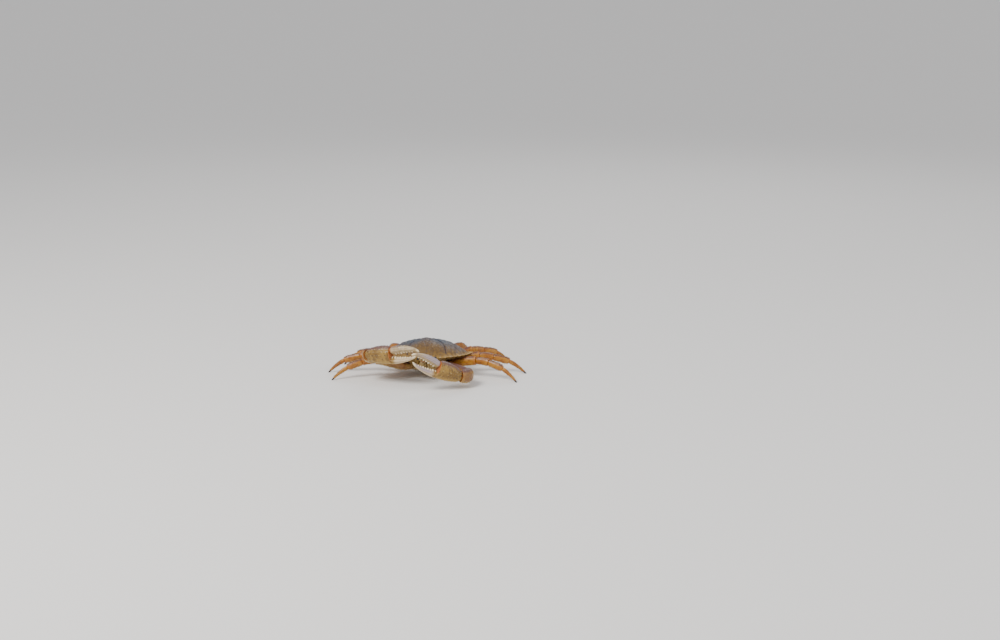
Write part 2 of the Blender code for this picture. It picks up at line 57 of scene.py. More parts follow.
# The stance of the body, its outline at the margin, its dome, its flat floor and the drop of its rear
NOSE_UP = math.radians(6)
STANDING_HEIGHT = 40
HALF_WIDTH = 80
FRONT_REACH = 58
BACK_REACH = 63
BACK_CUT = 49
BACK_CUT_POWER = 8.0
FRONT_POWER = 1.8
BACK_POWER = 1.28
MIDDLE = -4
DOME = 28.5
DOME_POWER = 1.95
FLOOR_DEPTH = 9
FLAT_REACH = 0.5
REAR_DROP = 6
REAR_DROP_POWER = 1.5
# The saw edge: the brow's teeth, the notches for the eyes, and the teeth along each side
BROW_HALF_WIDTH = 11
BROW_TOOTH = 4.6
BROW_TOOTH_DEPTH = 1.8
ORBIT_OUTER = 22.5
ORBIT_DEPTH = 4.5
SIDE_TEETH = 10
SIDE_TOOTH_DEPTH = 3.4
LAST_TOOTH_DEPTH = 7.5
TOOTH_BACK_SHARE = 0.7
TOOTH_ROOT_SHARE = 0.25
TOOTH_FADE = 20
TOOTH_FORWARD_WEIGHT = 1.2
EDGE_SERRATIONS = 4
EDGE_SERRATION_DEPTH = 0.32
# How the dome thins to the margin, the bead along the rear, and the seam and the cheeks below
EDGE_THINNING = 0.1
EDGE_THINNING_POWER = 1.3
REAR_BEAD = 0.7
SEAM_REACH = 0.9
SEAM_DEPTH = 0.5
CHEEK_INNER = (17.5, 21)
CHEEK_OUTER = (34, 42)
CHEEK_DROP = 14.5
CHEEK_FOOT_REACH = 0.68
CHEEK_END_REACH = 0.63
# Each swelling of the back, on both sides: side, forward, half width, half length and height
SWELLINGS = (
    (0, 20, 17, 13, 1.6),
    (0, -24, 11, 12, 1.4),
    (42, -6, 19, 20, 1.3),
    (40, 28, 13, 10, 0.9),
)
# Each groove of the back: its depth, its half width, and the points it runs through on one side
GROOVES = (
    (1.0, 1.9, ((6.5, -2), (12, 1), (20, 6), (28, 14), (33, 25), (35, 38))),
    (0.8, 1.8, ((6.5, -2), (9.5, -10), (10, -21), (13, -32), (19, -42))),
    (0.55, 1.5, ((0, 47), (0, 33), (3, 22), (6, 11), (6.5, -2))),
    (0.5, 2.2, ((31, 20), (42, 15), (54, 15), (64, 20))),
    (0.4, 2.4, ((13, -32), (30, -30), (46, -30), (60, -22))),
    (1.1, 1.1, ((5.5, 1), (8, -2), (8.6, -6), (7.2, -9))),
)
# Pale scars where the muscles hold the shell from inside, on one side: side, forward, radius
SCARS = (
    (10, 15, 1.5),
    (15, 19, 1.3),
    (18, 27, 1.7),
    (11, 30, 1.2),
    (24, -2, 1.9),
    (30, 3, 1.4),
    (37, 6, 1.7),
    (21, -12, 1.6),
    (26, -22, 1.9),
    (38, -16, 1.5),
    (50, -2, 1.8),
    (58, 6, 1.3),
    (47, 27, 1.4),
    (5, -20, 1.1),
    (5.5, -28, 1.3),
)
# The carapace's mesh: how far round the saw edge reaches, the steps there and behind it, and its rows
SAW_END_TURN = 1.75
SAW_STEP = 0.0065
REAR_STEP = 0.014
TOP_ROWS = 92
TOP_ROW_CROWDING = 1.3
UNDER_ROWS = 34
UNDER_START_REACH = 0.992
ORBIT_TURN = math.asin((ORBIT_OUTER / HALF_WIDTH) ** (FRONT_POWER / 2))
BROW_TIP = MIDDLE + FRONT_REACH + 0.6 * BROW_TOOTH_DEPTH / TOOTH_FORWARD_WEIGHT
shell_low, shell_high = (np.array(corner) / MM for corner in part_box("carapace"))
MIDLINE = (shell_low[0] + shell_high[0]) / 2
BODY_PLACE = shell_low[1] + BROW_TIP * math.cos(NOSE_UP)


def stand(side, forward, up):
    """From the body to the standing crab: a turn about the side axis by NOSE_UP, then a shift."""
    level = forward * math.cos(NOSE_UP) - up * math.sin(NOSE_UP)
    height = forward * math.sin(NOSE_UP) + up * math.cos(NOSE_UP)
    place = (MIDLINE + side, BODY_PLACE - level, STANDING_HEIGHT + height)
    return np.stack(np.broadcast_arrays(*place), -1)


def signed_power(value, power):
    """The value's size raised to the power, with its sign kept."""
    return np.sign(value) * np.abs(value) ** power


def ramp(value, start, end):
    """0 before start and 1 after end, with a smooth S between them, 3t^2 - 2t^3."""
    share = np.clip((value - start) / (end - start), 0, 1)
    return share * share * (3 - 2 * share)


def bell(distance, width):
    """1 at no distance, falling away as exp(-(distance / width)^2)."""
    return np.exp(-((distance / width) ** 2))


def ripple(points, size, seed):
    """Smooth seeded noise of about -1 to 1: the sum of sines of plane waves about size long."""
    waves = 14
    draw = np.random.default_rng(seed)
    ways = draw.normal(size=(waves, 3))
    ways *= TAU / size * draw.uniform(0.7, 1.5, (waves, 1)) / np.linalg.norm(ways, axis=1, keepdims=True)
    return np.sin(points @ ways.T + draw.uniform(0, TAU, waves)).sum(-1) / math.sqrt(waves)


def line_distance(x, y, line):
    """The shortest distance from each point (x, y) to a chain of straight stretches."""
    nearest = np.full(np.shape(x), np.inf)
    for (start_x, start_y), (end_x, end_y) in zip(line[:-1], line[1:], strict=True):
        run_x, run_y = end_x - start_x, end_y - start_y
        share = ((x - start_x) * run_x + (y - start_y) * run_y) / (run_x**2 + run_y**2)
        share = np.clip(share, 0, 1)
        nearest = np.minimum(nearest, np.hypot(x - start_x - share * run_x, y - start_y - share * run_y))
    return nearest


def outward(grid):
    """Unit normals of a grid whose rows are closed rings: the round step crossed with the long step."""
    rounds = np.roll(grid, -1, 1) - np.roll(grid, 1, 1)
    normal = np.cross(rounds, np.gradient(grid, axis=0))
    normal /= np.maximum(np.linalg.norm(normal, axis=-1, keepdims=True), 1e-9)
    leaning = (normal * (grid - grid.mean(1, keepdims=True))).sum()
    return normal if leaning > 0 else -normal


def push(grid, amount):
    """The grid with every point moved along its outward normal by its own amount."""
    return grid + outward(grid) * np.broadcast_to(amount, grid.shape[:2])[..., None]


def make_piece(name, grids, traits, material):
    """A closed mesh from grids of rings, each with its first and last ring closed on a middle point.

    Neighbouring rings are joined by quads, and all faces are turned round where the volume they
    enclose, the sum of a . (b x c) / 6, comes out negative.  traits holds, for each name, one array of
    values for each grid, which the materials read as an attribute.
    """
    points, faces, start = [], [], 0
    values = {trait: [] for trait in traits}
    for number, grid in enumerate(grids):
        rows, rounds = grid.shape[:2]
        index = start + np.arange(rows * rounds).reshape(rows, rounds)
        after = np.roll(index, -1, 1)
        first, last = start + rows * rounds, start + rows * rounds + 1
        quads = np.stack([index[:-1], after[:-1], after[1:], index[1:]], -1).reshape(-1, 4)
        opening = np.stack([after[0], index[0], np.full(rounds, first)], -1)
        closing = np.stack([index[-1], after[-1], np.full(rounds, last)], -1)
        ends = grid[[0, -1]].mean(1)
        flat = np.vstack([grid.reshape(-1, 3), ends])
        corner = flat[np.vstack([quads[:, :3], quads[:, [0, 2, 3]], opening, closing]) - start]
        volume = (corner[:, 0] * np.cross(corner[:, 1], corner[:, 2])).sum()
        turned = slice(None, None, 1 if volume > 0 else -1)
        faces += quads[:, turned].tolist() + opening[:, turned].tolist() + closing[:, turned].tolist()
        points.append(flat)
        for trait, per_grid in traits.items():
            value = np.broadcast_to(np.asarray(per_grid[number], float), (rows, rounds))
            values[trait].append(np.concatenate([value.ravel(), value[[0, -1]].mean(1)]))
        start += rows * rounds + 2
    mesh = bpy.data.meshes.new(name)
    mesh.from_pydata((np.vstack(points) * MM).tolist(), [], faces)
    mesh.shade_smooth()
    for trait, parts in values.items():
        attribute = mesh.attributes.new(trait, "FLOAT", "POINT")
        attribute.data.foreach_set("value", np.concatenate(parts).astype(np.float32))
    mesh.materials.append(material)
    piece = bpy.data.objects.new(name, mesh)
    bpy.context.scene.collection.objects.link(piece)
    return piece


def add_node(tree, kind, inputs, **settings):
    """A shader node with its settings; an input is given a fixed value or the socket it is fed from."""
    node = tree.nodes.new(kind)
    for setting, value in settings.items():
        setattr(node, setting, value)
    for socket, value in inputs.items():
        if isinstance(value, bpy.types.NodeSocket):
            tree.links.new(value, node.inputs[socket])
        else:
            node.inputs[socket].default_value = value
    return node


def new_group(name, inputs, output, kind):
    """A shader node group with the named input sockets and one output socket."""
    tree = bpy.data.node_groups.new(name, "ShaderNodeTree")
    for label, socket_kind in inputs:
        tree.interface.new_socket(label, in_out="INPUT", socket_type=socket_kind)
    tree.interface.new_socket(output, in_out="OUTPUT", socket_type=kind)
    return tree, tree.nodes.new("NodeGroupInput").outputs, tree.nodes.new("NodeGroupOutput").inputs


def mix_colour(tree, share, first, second, blend="MIX"):
    """The socket of first mixed with second by share."""
    kind = {"data_type": "RGBA", "blend_type": blend}
    return add_node(tree, "ShaderNodeMix", {0: share, 6: first, 7: second}, **kind).outputs[2]


def math_node(tree, operation, first, second):
    """The socket of one arithmetic step."""
    return add_node(tree, "ShaderNodeMath", {0: first, 1: second}, operation=operation).outputs[0]


def s_curve(tree, value, low, high, bottom=0.0, top=1.0):
    """The socket of a value carried from low..high to bottom..top on a smooth S."""
    limits = {"Value": value, "From Min": low, "From Max": high, "To Min": bottom, "To Max": top}
    node = add_node(tree, "ShaderNodeMapRange", limits, interpolation_type="SMOOTHSTEP")
    return node.outputs["Result"]


def noise(tree, vector, scale, detail):
    """The socket of a noise texture's value."""
    inputs = {"Vector": vector, "Scale": scale, "Detail": detail, "Roughness": 0.58}
    return add_node(tree, "ShaderNodeTexNoise", inputs).outputs["Fac"]


VECTOR, COLOUR, NUMBER = "NodeSocketVector", "NodeSocketColor", "NodeSocketFloat"
COAT_ROUGHNESS = 0.24

# Mottled shell: broad soft patches on a ground, then small flecks, then a fine darkening
MOTTLE_INPUTS = (
    ("Place", VECTOR),
    ("Ground", COLOUR),
    ("Patch", COLOUR),
    ("Fleck", COLOUR),
    ("Patch Scale", NUMBER),
    ("Fleck Scale", NUMBER),
    ("Fleck Level", NUMBER),
)
tree, given, result = new_group("mottled_shell", MOTTLE_INPUTS, "Colour", COLOUR)
broad = s_curve(tree, noise(tree, given["Place"], given["Patch Scale"], 4), 0.42, 0.6)
shaded = mix_colour(tree, broad, given["Ground"], given["Patch"])
small = noise(tree, given["Place"], given["Fleck Scale"], 3)
level = math_node(tree, "SUBTRACT", small, given["Fleck Level"])
shaded = mix_colour(tree, s_curve(tree, level, 0.0, 0.1), shaded, given["Fleck"])
fine = noise(tree, given["Place"], math_node(tree, "MULTIPLY", given["Fleck Scale"], 4.0), 2)
shaded = mix_colour(tree, s_curve(tree, fine, 0.3, 0.7, 0.55, 0.0), shaded, (0.45, 0.4, 0.38, 1), "MULTIPLY")
tree.links.new(shaded, result["Colour"])

# Washed colour: a second colour where a trait of the surface is high, with a broken edge
WASH_INPUTS = (
    ("Place", VECTOR),
    ("Under", COLOUR),
    ("Wash", COLOUR),
    ("Trait", NUMBER),
    ("Low", NUMBER),
    ("High", NUMBER),
    ("Broken", NUMBER),
)
tree, given, result = new_group("washed_colour", WASH_INPUTS, "Colour", COLOUR)
edge = math_node(tree, "SUBTRACT", noise(tree, given["Place"], 260.0, 4), 0.5)
edge = math_node(tree, "MULTIPLY", edge, given["Broken"])
edge = math_node(tree, "ADD", given["Trait"], edge)
edge = s_curve(tree, edge, given["Low"], given["High"])
tree.links.new(mix_colour(tree, edge, given["Under"], given["Wash"]), result["Colour"])

# Beaded relief in millimetres: round granules with pores and a fine grain between them
RELIEF_INPUTS = (("Place", VECTOR), ("Bead Scale", NUMBER), ("Bead Height", NUMBER), ("Grain", NUMBER))
tree, given, result = new_group("beaded_relief", RELIEF_INPUTS, "Height", NUMBER)
cells = {"Vector": given["Place"], "Scale": given["Bead Scale"]}
cells = add_node(tree, "ShaderNodeTexVoronoi", cells, feature="F1").outputs["Distance"]
beads = s_curve(tree, cells, 0.05, 0.55, 1.0, 0.0)
spread = noise(tree, given["Place"], math_node(tree, "MULTIPLY", given["Bead Scale"], 0.12), 2)
beads = math_node(tree, "MULTIPLY", beads, s_curve(tree, spread, 0.35, 0.62, 0.25, 1.0))
beads = math_node(tree, "MULTIPLY", beads, given["Bead Height"])
grain = noise(tree, given["Place"], math_node(tree, "MULTIPLY", given["Bead Scale"], 2.6), 4)
grain = math_node(tree, "MULTIPLY", grain, given["Grain"])
tree.links.new(math_node(tree, "ADD", beads, grain), result["Height"])

# Patchy gloss: roughness that wanders between two values
GLOSS_INPUTS = (("Place", VECTOR), ("Glossy", NUMBER), ("Dull", NUMBER))
tree, given, result = new_group("patchy_gloss", GLOSS_INPUTS, "Roughness", NUMBER)
patches = s_curve(tree, noise(tree, given["Place"], 120.0, 5), 0.36, 0.64)
span = math_node(tree, "SUBTRACT", given["Dull"], given["Glossy"])
patches = math_node(tree, "MULTIPLY", patches, span)
tree.links.new(math_node(tree, "ADD", patches, given["Glossy"]), result["Roughness"])


def place_group(tree, group, inputs):
    """The output socket of a copy of a node group, with its inputs given."""
    return add_node(tree, "ShaderNodeGroup", inputs, node_tree=bpy.data.node_groups[group]).outputs[0]


def shell_material(name, colours, scales, washes, gloss, beads, coat, shine=0.4):
    """Mottled chitin: three colours at their scales, washes by trait, then gloss, relief and a thin coat.

    A wash is (trait, colour, low, high, broken), beads are (scale, height, grain), and shine is the
    share of light that the shell itself throws back.
    """
    material = bpy.data.materials.new(name)
    material.use_nodes = True
    tree = material.node_tree
    shader = tree.nodes["Principled BSDF"]
    place = tree.nodes.new("ShaderNodeTexCoord").outputs["Object"]
    inputs = dict(zip(("Ground", "Patch", "Fleck"), [(*colour, 1) for colour in colours], strict=True))
    inputs |= dict(zip(("Patch Scale", "Fleck Scale", "Fleck Level"), scales, strict=True))
    colour = place_group(tree, "mottled_shell", {"Place": place} | inputs)
    for trait, wash, low, high, broken in washes:
        read = add_node(tree, "ShaderNodeAttribute", {}, attribute_name=trait).outputs["Fac"]
        inputs = {"Place": place, "Under": colour, "Wash": (*wash, 1), "Trait": read}
        inputs |= {"Low": low, "High": high, "Broken": broken}
        colour = place_group(tree, "washed_colour", inputs)
    tree.links.new(colour, shader.inputs["Base Color"])
    rough = place_group(tree, "patchy_gloss", {"Place": place, "Glossy": gloss[0], "Dull": gloss[1]})
    tree.links.new(rough, shader.inputs["Roughness"])
    inputs = {"Place": place, "Bead Scale": beads[0], "Bead Height": beads[1], "Grain": beads[2]}
    height = place_group(tree, "beaded_relief", inputs)
    bump = add_node(tree, "ShaderNodeBump", {"Height": height, "Distance": MM})
    tree.links.new(bump.outputs["Normal"], shader.inputs["Normal"])
    shader.inputs["Specular IOR Level"].default_value = shine
    shader.inputs["Coat Weight"].default_value = coat
    shader.inputs["Coat Roughness"].default_value = COAT_ROUGHNESS
    return material


def margin(turn):
    """The carapace outline without teeth at a turn, 0 at the front and a quarter turn at the side.

    Each half is a superellipse, half width * sin^(2/p) and reach * cos^(2/p), and the back one is cut
    off softly at the rear margin: (a^-8 + b^-8)^(-1/8) stays below both a and b.
    """
    across, along = np.sin(turn), np.cos(turn)
    power = np.where(along > 0, 2 / FRONT_POWER, 2 / BACK_POWER)
    back = np.maximum(BACK_REACH * np.abs(along) ** power, 0.001)
    back = (back**-BACK_CUT_POWER + BACK_CUT**-BACK_CUT_POWER) ** (-1 / BACK_CUT_POWER)
    forward = np.where(along > 0, FRONT_REACH * np.abs(along) ** power, -back) + MIDDLE
    return HALF_WIDTH * signed_power(across, power), forward


def tooth_reach(turn, side):
    """How far the saw edge stands out: the brow's teeth, the eye notches, then the ten side teeth.

    The brow is a triangle wave along the side axis, and each notch is half a sine.  The side teeth lie
    at even turns: each falls in a straight line from its tip over its back share and rises in another
    to the next tip, with a fine row of half sines on the fall.
    """
    offset = np.abs(side)
    brow = BROW_TOOTH_DEPTH * (0.6 - 2 * np.abs((offset / BROW_TOOTH + 0.5) % 1 - 0.5))
    notch = np.clip((offset - BROW_HALF_WIDTH) / (ORBIT_OUTER - BROW_HALF_WIDTH), 0, 1)
    notch = -ORBIT_DEPTH * np.sin(math.pi * notch)
    folded = np.abs((turn + math.pi) % TAU - math.pi)
    count = (folded - ORBIT_TURN) / (math.pi / 2 - ORBIT_TURN) * (SIDE_TEETH - 1)
    phase = count % 1
    falling = 1 - phase / TOOTH_BACK_SHARE
    rising = (phase - TOOTH_BACK_SHARE) / (1 - TOOTH_BACK_SHARE)
    rise = np.where(phase < TOOTH_BACK_SHARE, falling, rising)
    last_root = SIDE_TEETH - 2 + TOOTH_BACK_SHARE
    depth = np.where(count > last_root, LAST_TOOTH_DEPTH, SIDE_TOOTH_DEPTH)
    teeth = depth * (rise - TOOTH_ROOT_SHARE)
    teeth += EDGE_SERRATION_DEPTH * np.abs(np.sin(math.pi * EDGE_SERRATIONS * phase / TOOTH_BACK_SHARE))
    teeth = np.where(count < last_root + 1, teeth, 0)
    return np.where(offset < BROW_HALF_WIDTH, brow, np.where(offset < ORBIT_OUTER, notch, teeth))


def back_height(side, forward, reach):
    """The dome, 1 - reach^1.95, with a bell for each swelling, thinned smoothly towards the margin."""
    height = DOME * (1 - reach**DOME_POWER)
    for x, y, wide, long, high in SWELLINGS:
        height = height + high * np.exp(-(((np.abs(side) - x) / wide) ** 2) - ((forward - y) / long) ** 2)
    return height * (1 - np.exp(-(((1 - reach) / EDGE_THINNING) ** EDGE_THINNING_POWER)))


def under_height(rim, side, forward, reach):
    """A straight slope in from the rim to the flat, less the steep cheek beside the mouth."""
    slope = rim + (-FLOOR_DEPTH - rim) * (1 - reach) / (1 - FLAT_REACH)
    offset = np.abs(side)
    cheek = ramp(offset, *CHEEK_INNER) * (1 - ramp(offset, *CHEEK_OUTER)) * ramp(forward, 0, 8)
    fall = (1 - reach) / (1 - CHEEK_FOOT_REACH)
    back_up = (reach - CHEEK_END_REACH) / (CHEEK_FOOT_REACH - CHEEK_END_REACH)
    return slope - CHEEK_DROP * cheek * np.clip(np.minimum(fall, back_up), 0, 1)


def shell_ring(turn, reach):
    """Side and forward place of the carapace, the margin's own at that turn, and the rim's height.

    The reach is 0 in the middle and 1 at the rim.  The place is the margin's times the reach, grown
    by reach^20 times the saw edge's reach, and behind the middle the rim drops as cos^1.5.
    """
    side, forward = margin(turn)
    out = np.hypot(side, (forward - MIDDLE) * TOOTH_FORWARD_WEIGHT)
    grown = reach * (1 + reach**TOOTH_FADE * tooth_reach(turn, side) / out)
    rim = -REAR_DROP * np.clip(-np.cos(turn), 0, 1) ** REAR_DROP_POWER
    return side * grown, MIDDLE + (forward - MIDDLE) * grown, side, forward, rim


def under_shell(turn, reach):
    """The carapace's underside: its height less a bell for the seam from the mouth to the rear."""
    side, forward, rim_side, rim_forward, rim = shell_ring(turn, reach)
    up = under_height(rim, rim_side, rim_forward, reach)
    return stand(side, forward, up - SEAM_DEPTH * bell(reach - SEAM_REACH, 0.012) * (reach < 0.99))


# The turns of the mesh's lengthwise lines, one on every corner of the saw edge
tooth_pitch = (math.pi / 2 - ORBIT_TURN) / (SIDE_TEETH - 1)
brow_ends = [0.5 * step * BROW_TOOTH for step in range(1, 5)]
brow_ends += [BROW_HALF_WIDTH + share * (ORBIT_OUTER - BROW_HALF_WIDTH) for share in (0.05, 0.5, 0.95)]
corners = [0.0] + [math.asin((x / HALF_WIDTH) ** (FRONT_POWER / 2)) for x in brow_ends]
for tooth in range(SIDE_TEETH):
    corners += [ORBIT_TURN + tooth_pitch * (tooth + part) for part in (0, TOOTH_BACK_SHARE)]
corners += [corners[-1] + tooth_pitch * (1 - TOOTH_BACK_SHARE), math.pi]
half_turn = [0.0]
for start, end in zip(corners[:-1], corners[1:], strict=True):
    step = SAW_STEP if end < SAW_END_TURN else REAR_STEP
    half_turn += list(np.linspace(start, end, max(2, math.ceil((end - start) / step)) + 1)[1:])
half_turn = np.array(half_turn)
turn = np.concatenate([half_turn, TAU - half_turn[-2:0:-1]])[None, :]
top_reach = (1 - (1 - np.linspace(0, 1, TOP_ROWS + 1)[1:]) ** TOP_ROW_CROWDING)[:, None]
under_reach = np.linspace(UNDER_START_REACH, FLAT_REACH, UNDER_ROWS)[:, None]

# The domed top, with its grooves, muscle scars and bumps
side, forward, _, _, rim = shell_ring(turn, top_reach)
groove = np.zeros(side.shape)
for depth, width, line in GROOVES:
    groove = np.maximum(groove, depth * bell(line_distance(np.abs(side), forward, line), width))
scar = np.zeros(side.shape)
for x, y, radius in SCARS:
    scar = np.maximum(scar, bell(np.hypot(np.abs(side) - x, forward - y), radius))
bumps = 0.34 * ripple(np.stack([np.abs(side), forward, 0 * side], -1), 9, 3)
bumps += 0.14 * ripple(np.stack([side, forward, 0 * side], -1), 3.6, 4)
at_rear = (turn > SAW_END_TURN) * (turn < TAU - SAW_END_TURN)
rear_bead = REAR_BEAD * bell(top_reach - 0.978, 0.008) * at_rear
tips = top_reach**TOOTH_FADE * np.clip(tooth_reach(turn, margin(turn)[0]), 0, 9)
up = rim * top_reach**3 + back_height(side, forward, top_reach) + 0.35 * tips
up += (bumps - groove) * ramp(1 - top_reach, 0, 0.06) + rear_bead
shell_top = stand(side, forward, up)
shell_under = under_shell(turn, under_reach)
under_rows = np.broadcast_to(under_reach, shell_under.shape[:2])
carapace_grid = np.vstack([shell_top, shell_under])
# What the finish reads at each point: how far it is in a groove, on a scar, at the rim and so on
none_below = np.zeros(shell_under.shape[:2])
near_rim = np.broadcast_to(top_reach, side.shape)
cheek_zone = np.abs(shell_under[..., 0] - MIDLINE)
cheek_zone = np.maximum(bell(cheek_zone - 30, 16), 0.8 * bell(cheek_zone, 9)) * (np.cos(turn) > 0)
rim_tips = np.clip(tips[-1] / 2.4, 0, 1) * under_rows**40
carapace_traits = {
    # The groove trait also marks where painted shade darkens the grooves
    "groove": [np.vstack([groove, none_below])],
    "scar": [np.vstack([scar, none_below])],
    "rim": [np.vstack([near_rim**3, under_rows**3])],
    "tooth": [np.vstack([np.clip(tips / 2.4, 0, 1), rim_tips])],
    "under": [np.vstack([0 * side, none_below + 1])],
    "cheek": [np.vstack([0 * side, cheek_zone])],
    "front": [np.vstack([ramp(forward, -30, 45), none_below])],
    # Where the blue-grey reflection of the sky is painted on the top of the carapace
    "painted_sky_sheen": [np.vstack([bell(np.hypot(np.abs(side) - 26, forward - 6), 26), none_below])],
}
carapace_finish = shell_material(
    "carapace_shell",
    colours=((0.055, 0.03, 0.027), (0.115, 0.088, 0.088), (0.32, 0.225, 0.105)),
    scales=(62, 250, 0.605),
    washes=(
        # A blue-grey wash over the top of the back: painted reflection of the sky
        ("painted_sky_sheen", (0.036, 0.052, 0.078), 0.3, 0.95, 2.2),
        ("front", (0.15, 0.082, 0.02), 0.45, 1.15, 1.3),
        # Darker in the grooves of the back: painted shade
        ("groove", (0.035, 0.02, 0.022), 0.25, 1.1, 0.3),
        ("scar", (0.33, 0.23, 0.11), 0.5, 1.1, 0.9),
        ("rim", (0.30, 0.17, 0.035), 0.5, 1.08, 0.9),
        ("tooth", (0.58, 0.41, 0.17), 0.35, 0.95, 0.5),
        ("under", (0.52, 0.34, 0.11), 0.4, 0.6, 0.0),
        ("cheek", (0.20, 0.115, 0.025), 0.25, 0.8, 0.9),
    ),
    gloss=(0.3, 0.48),
    beads=(780, 0.2, 0.05),
    coat=0.12,
    shine=0.3,
)
carapace = make_piece("carapace_shell", [carapace_grid], carapace_traits, carapace_finish)
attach(carapace, "root")
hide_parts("carapace")


# The breastplate between the legs and the tail flap folded forward under it.  Both are paler, smoother
# chitin: the breastplate is several plates grown together along seams, with a soft-rimmed socket for
# each limb, and the flap is seven rings that hinge on thin skin.
# The breastplate's outline, and where the limbs leave it: their depth, and their turns in degrees
BREAST_HALF_WIDTH = 37
BREAST_HALF_LENGTH = 40
BREAST_MIDDLE = -8
HIP_DEPTH = 18.5
HIP_ANGLES = (17, -5, -27, -50)
CLAW_HIP_ANGLE = 39
# The breastplate from top to bottom: place along the profile, depth, and share of the full ellipse
BREAST_PROFILE = (
    (0.0, 7.6, 0.80),
    (0.06, 8.4, 0.92),
    (0.14, 12.0, 0.99),
    (0.36, 20.0, 0.985),
    (0.48, 24.2, 0.93),
    (0.56, 25.6, 0.84),
    (0.66, 26.0, 0.72),
    (1.0, 26.0, 0.02),
)
# The seams of the breastplate, each a line of (side, forward) points on one side or in the middle
SEAMS = (
    ((8, 22), (20, 25), (34, 22)),
    ((9, 9), (22, 9), (40, 6)),
    ((10, -4), (23, -6), (40, -12)),
    ((11, -17), (22, -21), (36, -30)),
    ((12, -29), (19, -35), (27, -46)),
    ((0, 35), (0, 10)),
)
# The tail flap: place along it, forward, up, half width and half thickness
FLAP_PROFILE = (
    (0.0, -52.0, -10.6, 14.6, 0.9),
    (0.1, -53.4, -16.0, 14.8, 1.5),
    (0.2, -52.6, -23.5, 14.4, 1.6),
    (0.3, -46.0, -27.9, 13.5, 1.7),
    (0.5, -30.0, -28.0, 11.5, 1.7),
    (0.7, -14.0, -28.0, 8.0, 1.7),
    (0.9, 2.0, -27.9, 5.0, 1.5),
    (1.0, 9.0, -27.8, 2.0, 1.0),
)
FLAP_HINGES = (0.1, 0.22, 0.36, 0.51, 0.66, 0.84)
# How far the flap's edges fold in towards the body, behind and below
FLAP_FOLD = (3.4, 1.2)


def curve(table, place):
    """The columns of a table read at new places along its first, on cubic Hermite stretches.

    The slope at each row is that of the line between its two neighbours.
    """
    table = np.asarray(table, float)
    knots, rows = table[:, 0], table[:, 1:]
    slopes = np.gradient(rows, knots, axis=0)
    step = np.clip(np.searchsorted(knots, place, side="right") - 1, 0, len(knots) - 2)
    width = (knots[step + 1] - knots[step])[:, None]
    t = np.clip((place - knots[step])[:, None] / width, 0, 1)
    value = (2 * t**3 - 3 * t**2 + 1) * rows[step] + (3 * t**2 - 2 * t**3) * rows[step + 1]
    return value + width * ((t**3 - 2 * t**2 + t) * slopes[step] + (t**3 - t**2) * slopes[step + 1])


angle = np.linspace(0, TAU, 216, endpoint=False)[None, :]
depth, share = (column[:, None] for column in curve(BREAST_PROFILE, np.linspace(0, 1, 110)).T)
side = BREAST_HALF_WIDTH * share * np.cos(angle)
forward = BREAST_MIDDLE + BREAST_HALF_LENGTH * share * np.sin(angle)
seam = np.zeros(side.shape)
for line in SEAMS:
    seam = np.maximum(seam, bell(line_distance(np.abs(side), forward, line), 0.75))
socket = np.zeros(side.shape)
for hip_angle in (*HIP_ANGLES, CLAW_HIP_ANGLE):
    hip_side = BREAST_HALF_WIDTH * math.cos(math.radians(hip_angle))
    hip_forward = BREAST_MIDDLE + BREAST_HALF_LENGTH * math.sin(math.radians(hip_angle))
    away = np.hypot(np.hypot(np.abs(side) - hip_side, forward - hip_forward), depth - HIP_DEPTH)
    socket = np.maximum(socket, 1 - ramp(away, 6.5, 8.5))
breast_grid = stand(side, forward, -depth + 0 * side)
swelling = 0.5 * ramp(np.abs(side), 6, 22) + 0.15 * ripple(breast_grid, 11, 11)
breast_grid = push(breast_grid, (swelling - 1.1 * seam) * ramp(share, 0.02, 0.3) - 1.6 * socket)
belly_finish = shell_material(
    "belly_shell",
    colours=((0.50, 0.33, 0.12), (0.61, 0.45, 0.21), (0.30, 0.16, 0.06)),
    scales=(70, 300, 0.62),
    washes=(
        ("seam", (0.20, 0.10, 0.04), 0.3, 1.1, 0.4),
        ("joint", (0.38, 0.19, 0.08), 0.4, 0.8, 0.3),
        ("rim", (0.36, 0.19, 0.06), 0.5, 1.0, 0.6),
        ("back", (0.17, 0.085, 0.045), 0.3, 1.0, 0.9),
    ),
    gloss=(0.34, 0.55),
    beads=(900, 0.10, 0.07),
    coat=0.2,
)
behind = ramp(-np.sin(angle), 0.5, 1) * (1 - ramp(depth, 14, 24))
traits = {"seam": [seam], "joint": [socket], "back": [behind]}
breastplate = make_piece("breastplate", [breast_grid], traits, belly_finish)
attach(breastplate, "root")
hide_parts("thorax")

along = np.linspace(0, 1, 170)
flap = curve(FLAP_PROFILE, along)
run, rise = np.gradient(flap[:, 0]), np.gradient(flap[:, 1])
run, rise = run / np.hypot(run, rise), rise / np.hypot(run, rise)
angle = np.linspace(0, TAU, 72, endpoint=False)[None, :]
hinge = np.max([bell(along - place, 0.009) for place in FLAP_HINGES], 0)[:, None]
across = signed_power(np.cos(angle), 0.85)
side = flap[:, 2:3] * across * (1 - 0.06 * hinge)
fold = FLAP_FOLD[0] + (FLAP_FOLD[1] - FLAP_FOLD[0]) * ramp(along, 0.25, 0.45)[:, None]
off = flap[:, 3:4] * signed_power(np.sin(angle), 0.8) + fold * across**2
flap_grid = stand(side, flap[:, :1] - rise[:, None] * off, flap[:, 1:2] + run[:, None] * off)
ring = np.max([bell(along - place - 0.022, 0.016) for place in FLAP_HINGES], 0)[:, None]
crease = bell(np.abs(across) - 0.5, 0.09)
uneven = 0.12 * ripple(flap_grid, 5, 12)
flap_grid = push(flap_grid, 0.4 * ring - 0.6 * hinge - 0.25 * crease + uneven)
traits = {"seam": [hinge], "rim": [ramp(np.abs(across), 0.75, 1)]}
traits |= {"back": [(1 - ramp(along, 0.12, 0.24))[:, None]]}
tail_flap = make_piece("tail_flap", [flap_grid], traits, belly_finish)
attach(tail_flap, "root")
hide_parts("abdomen")


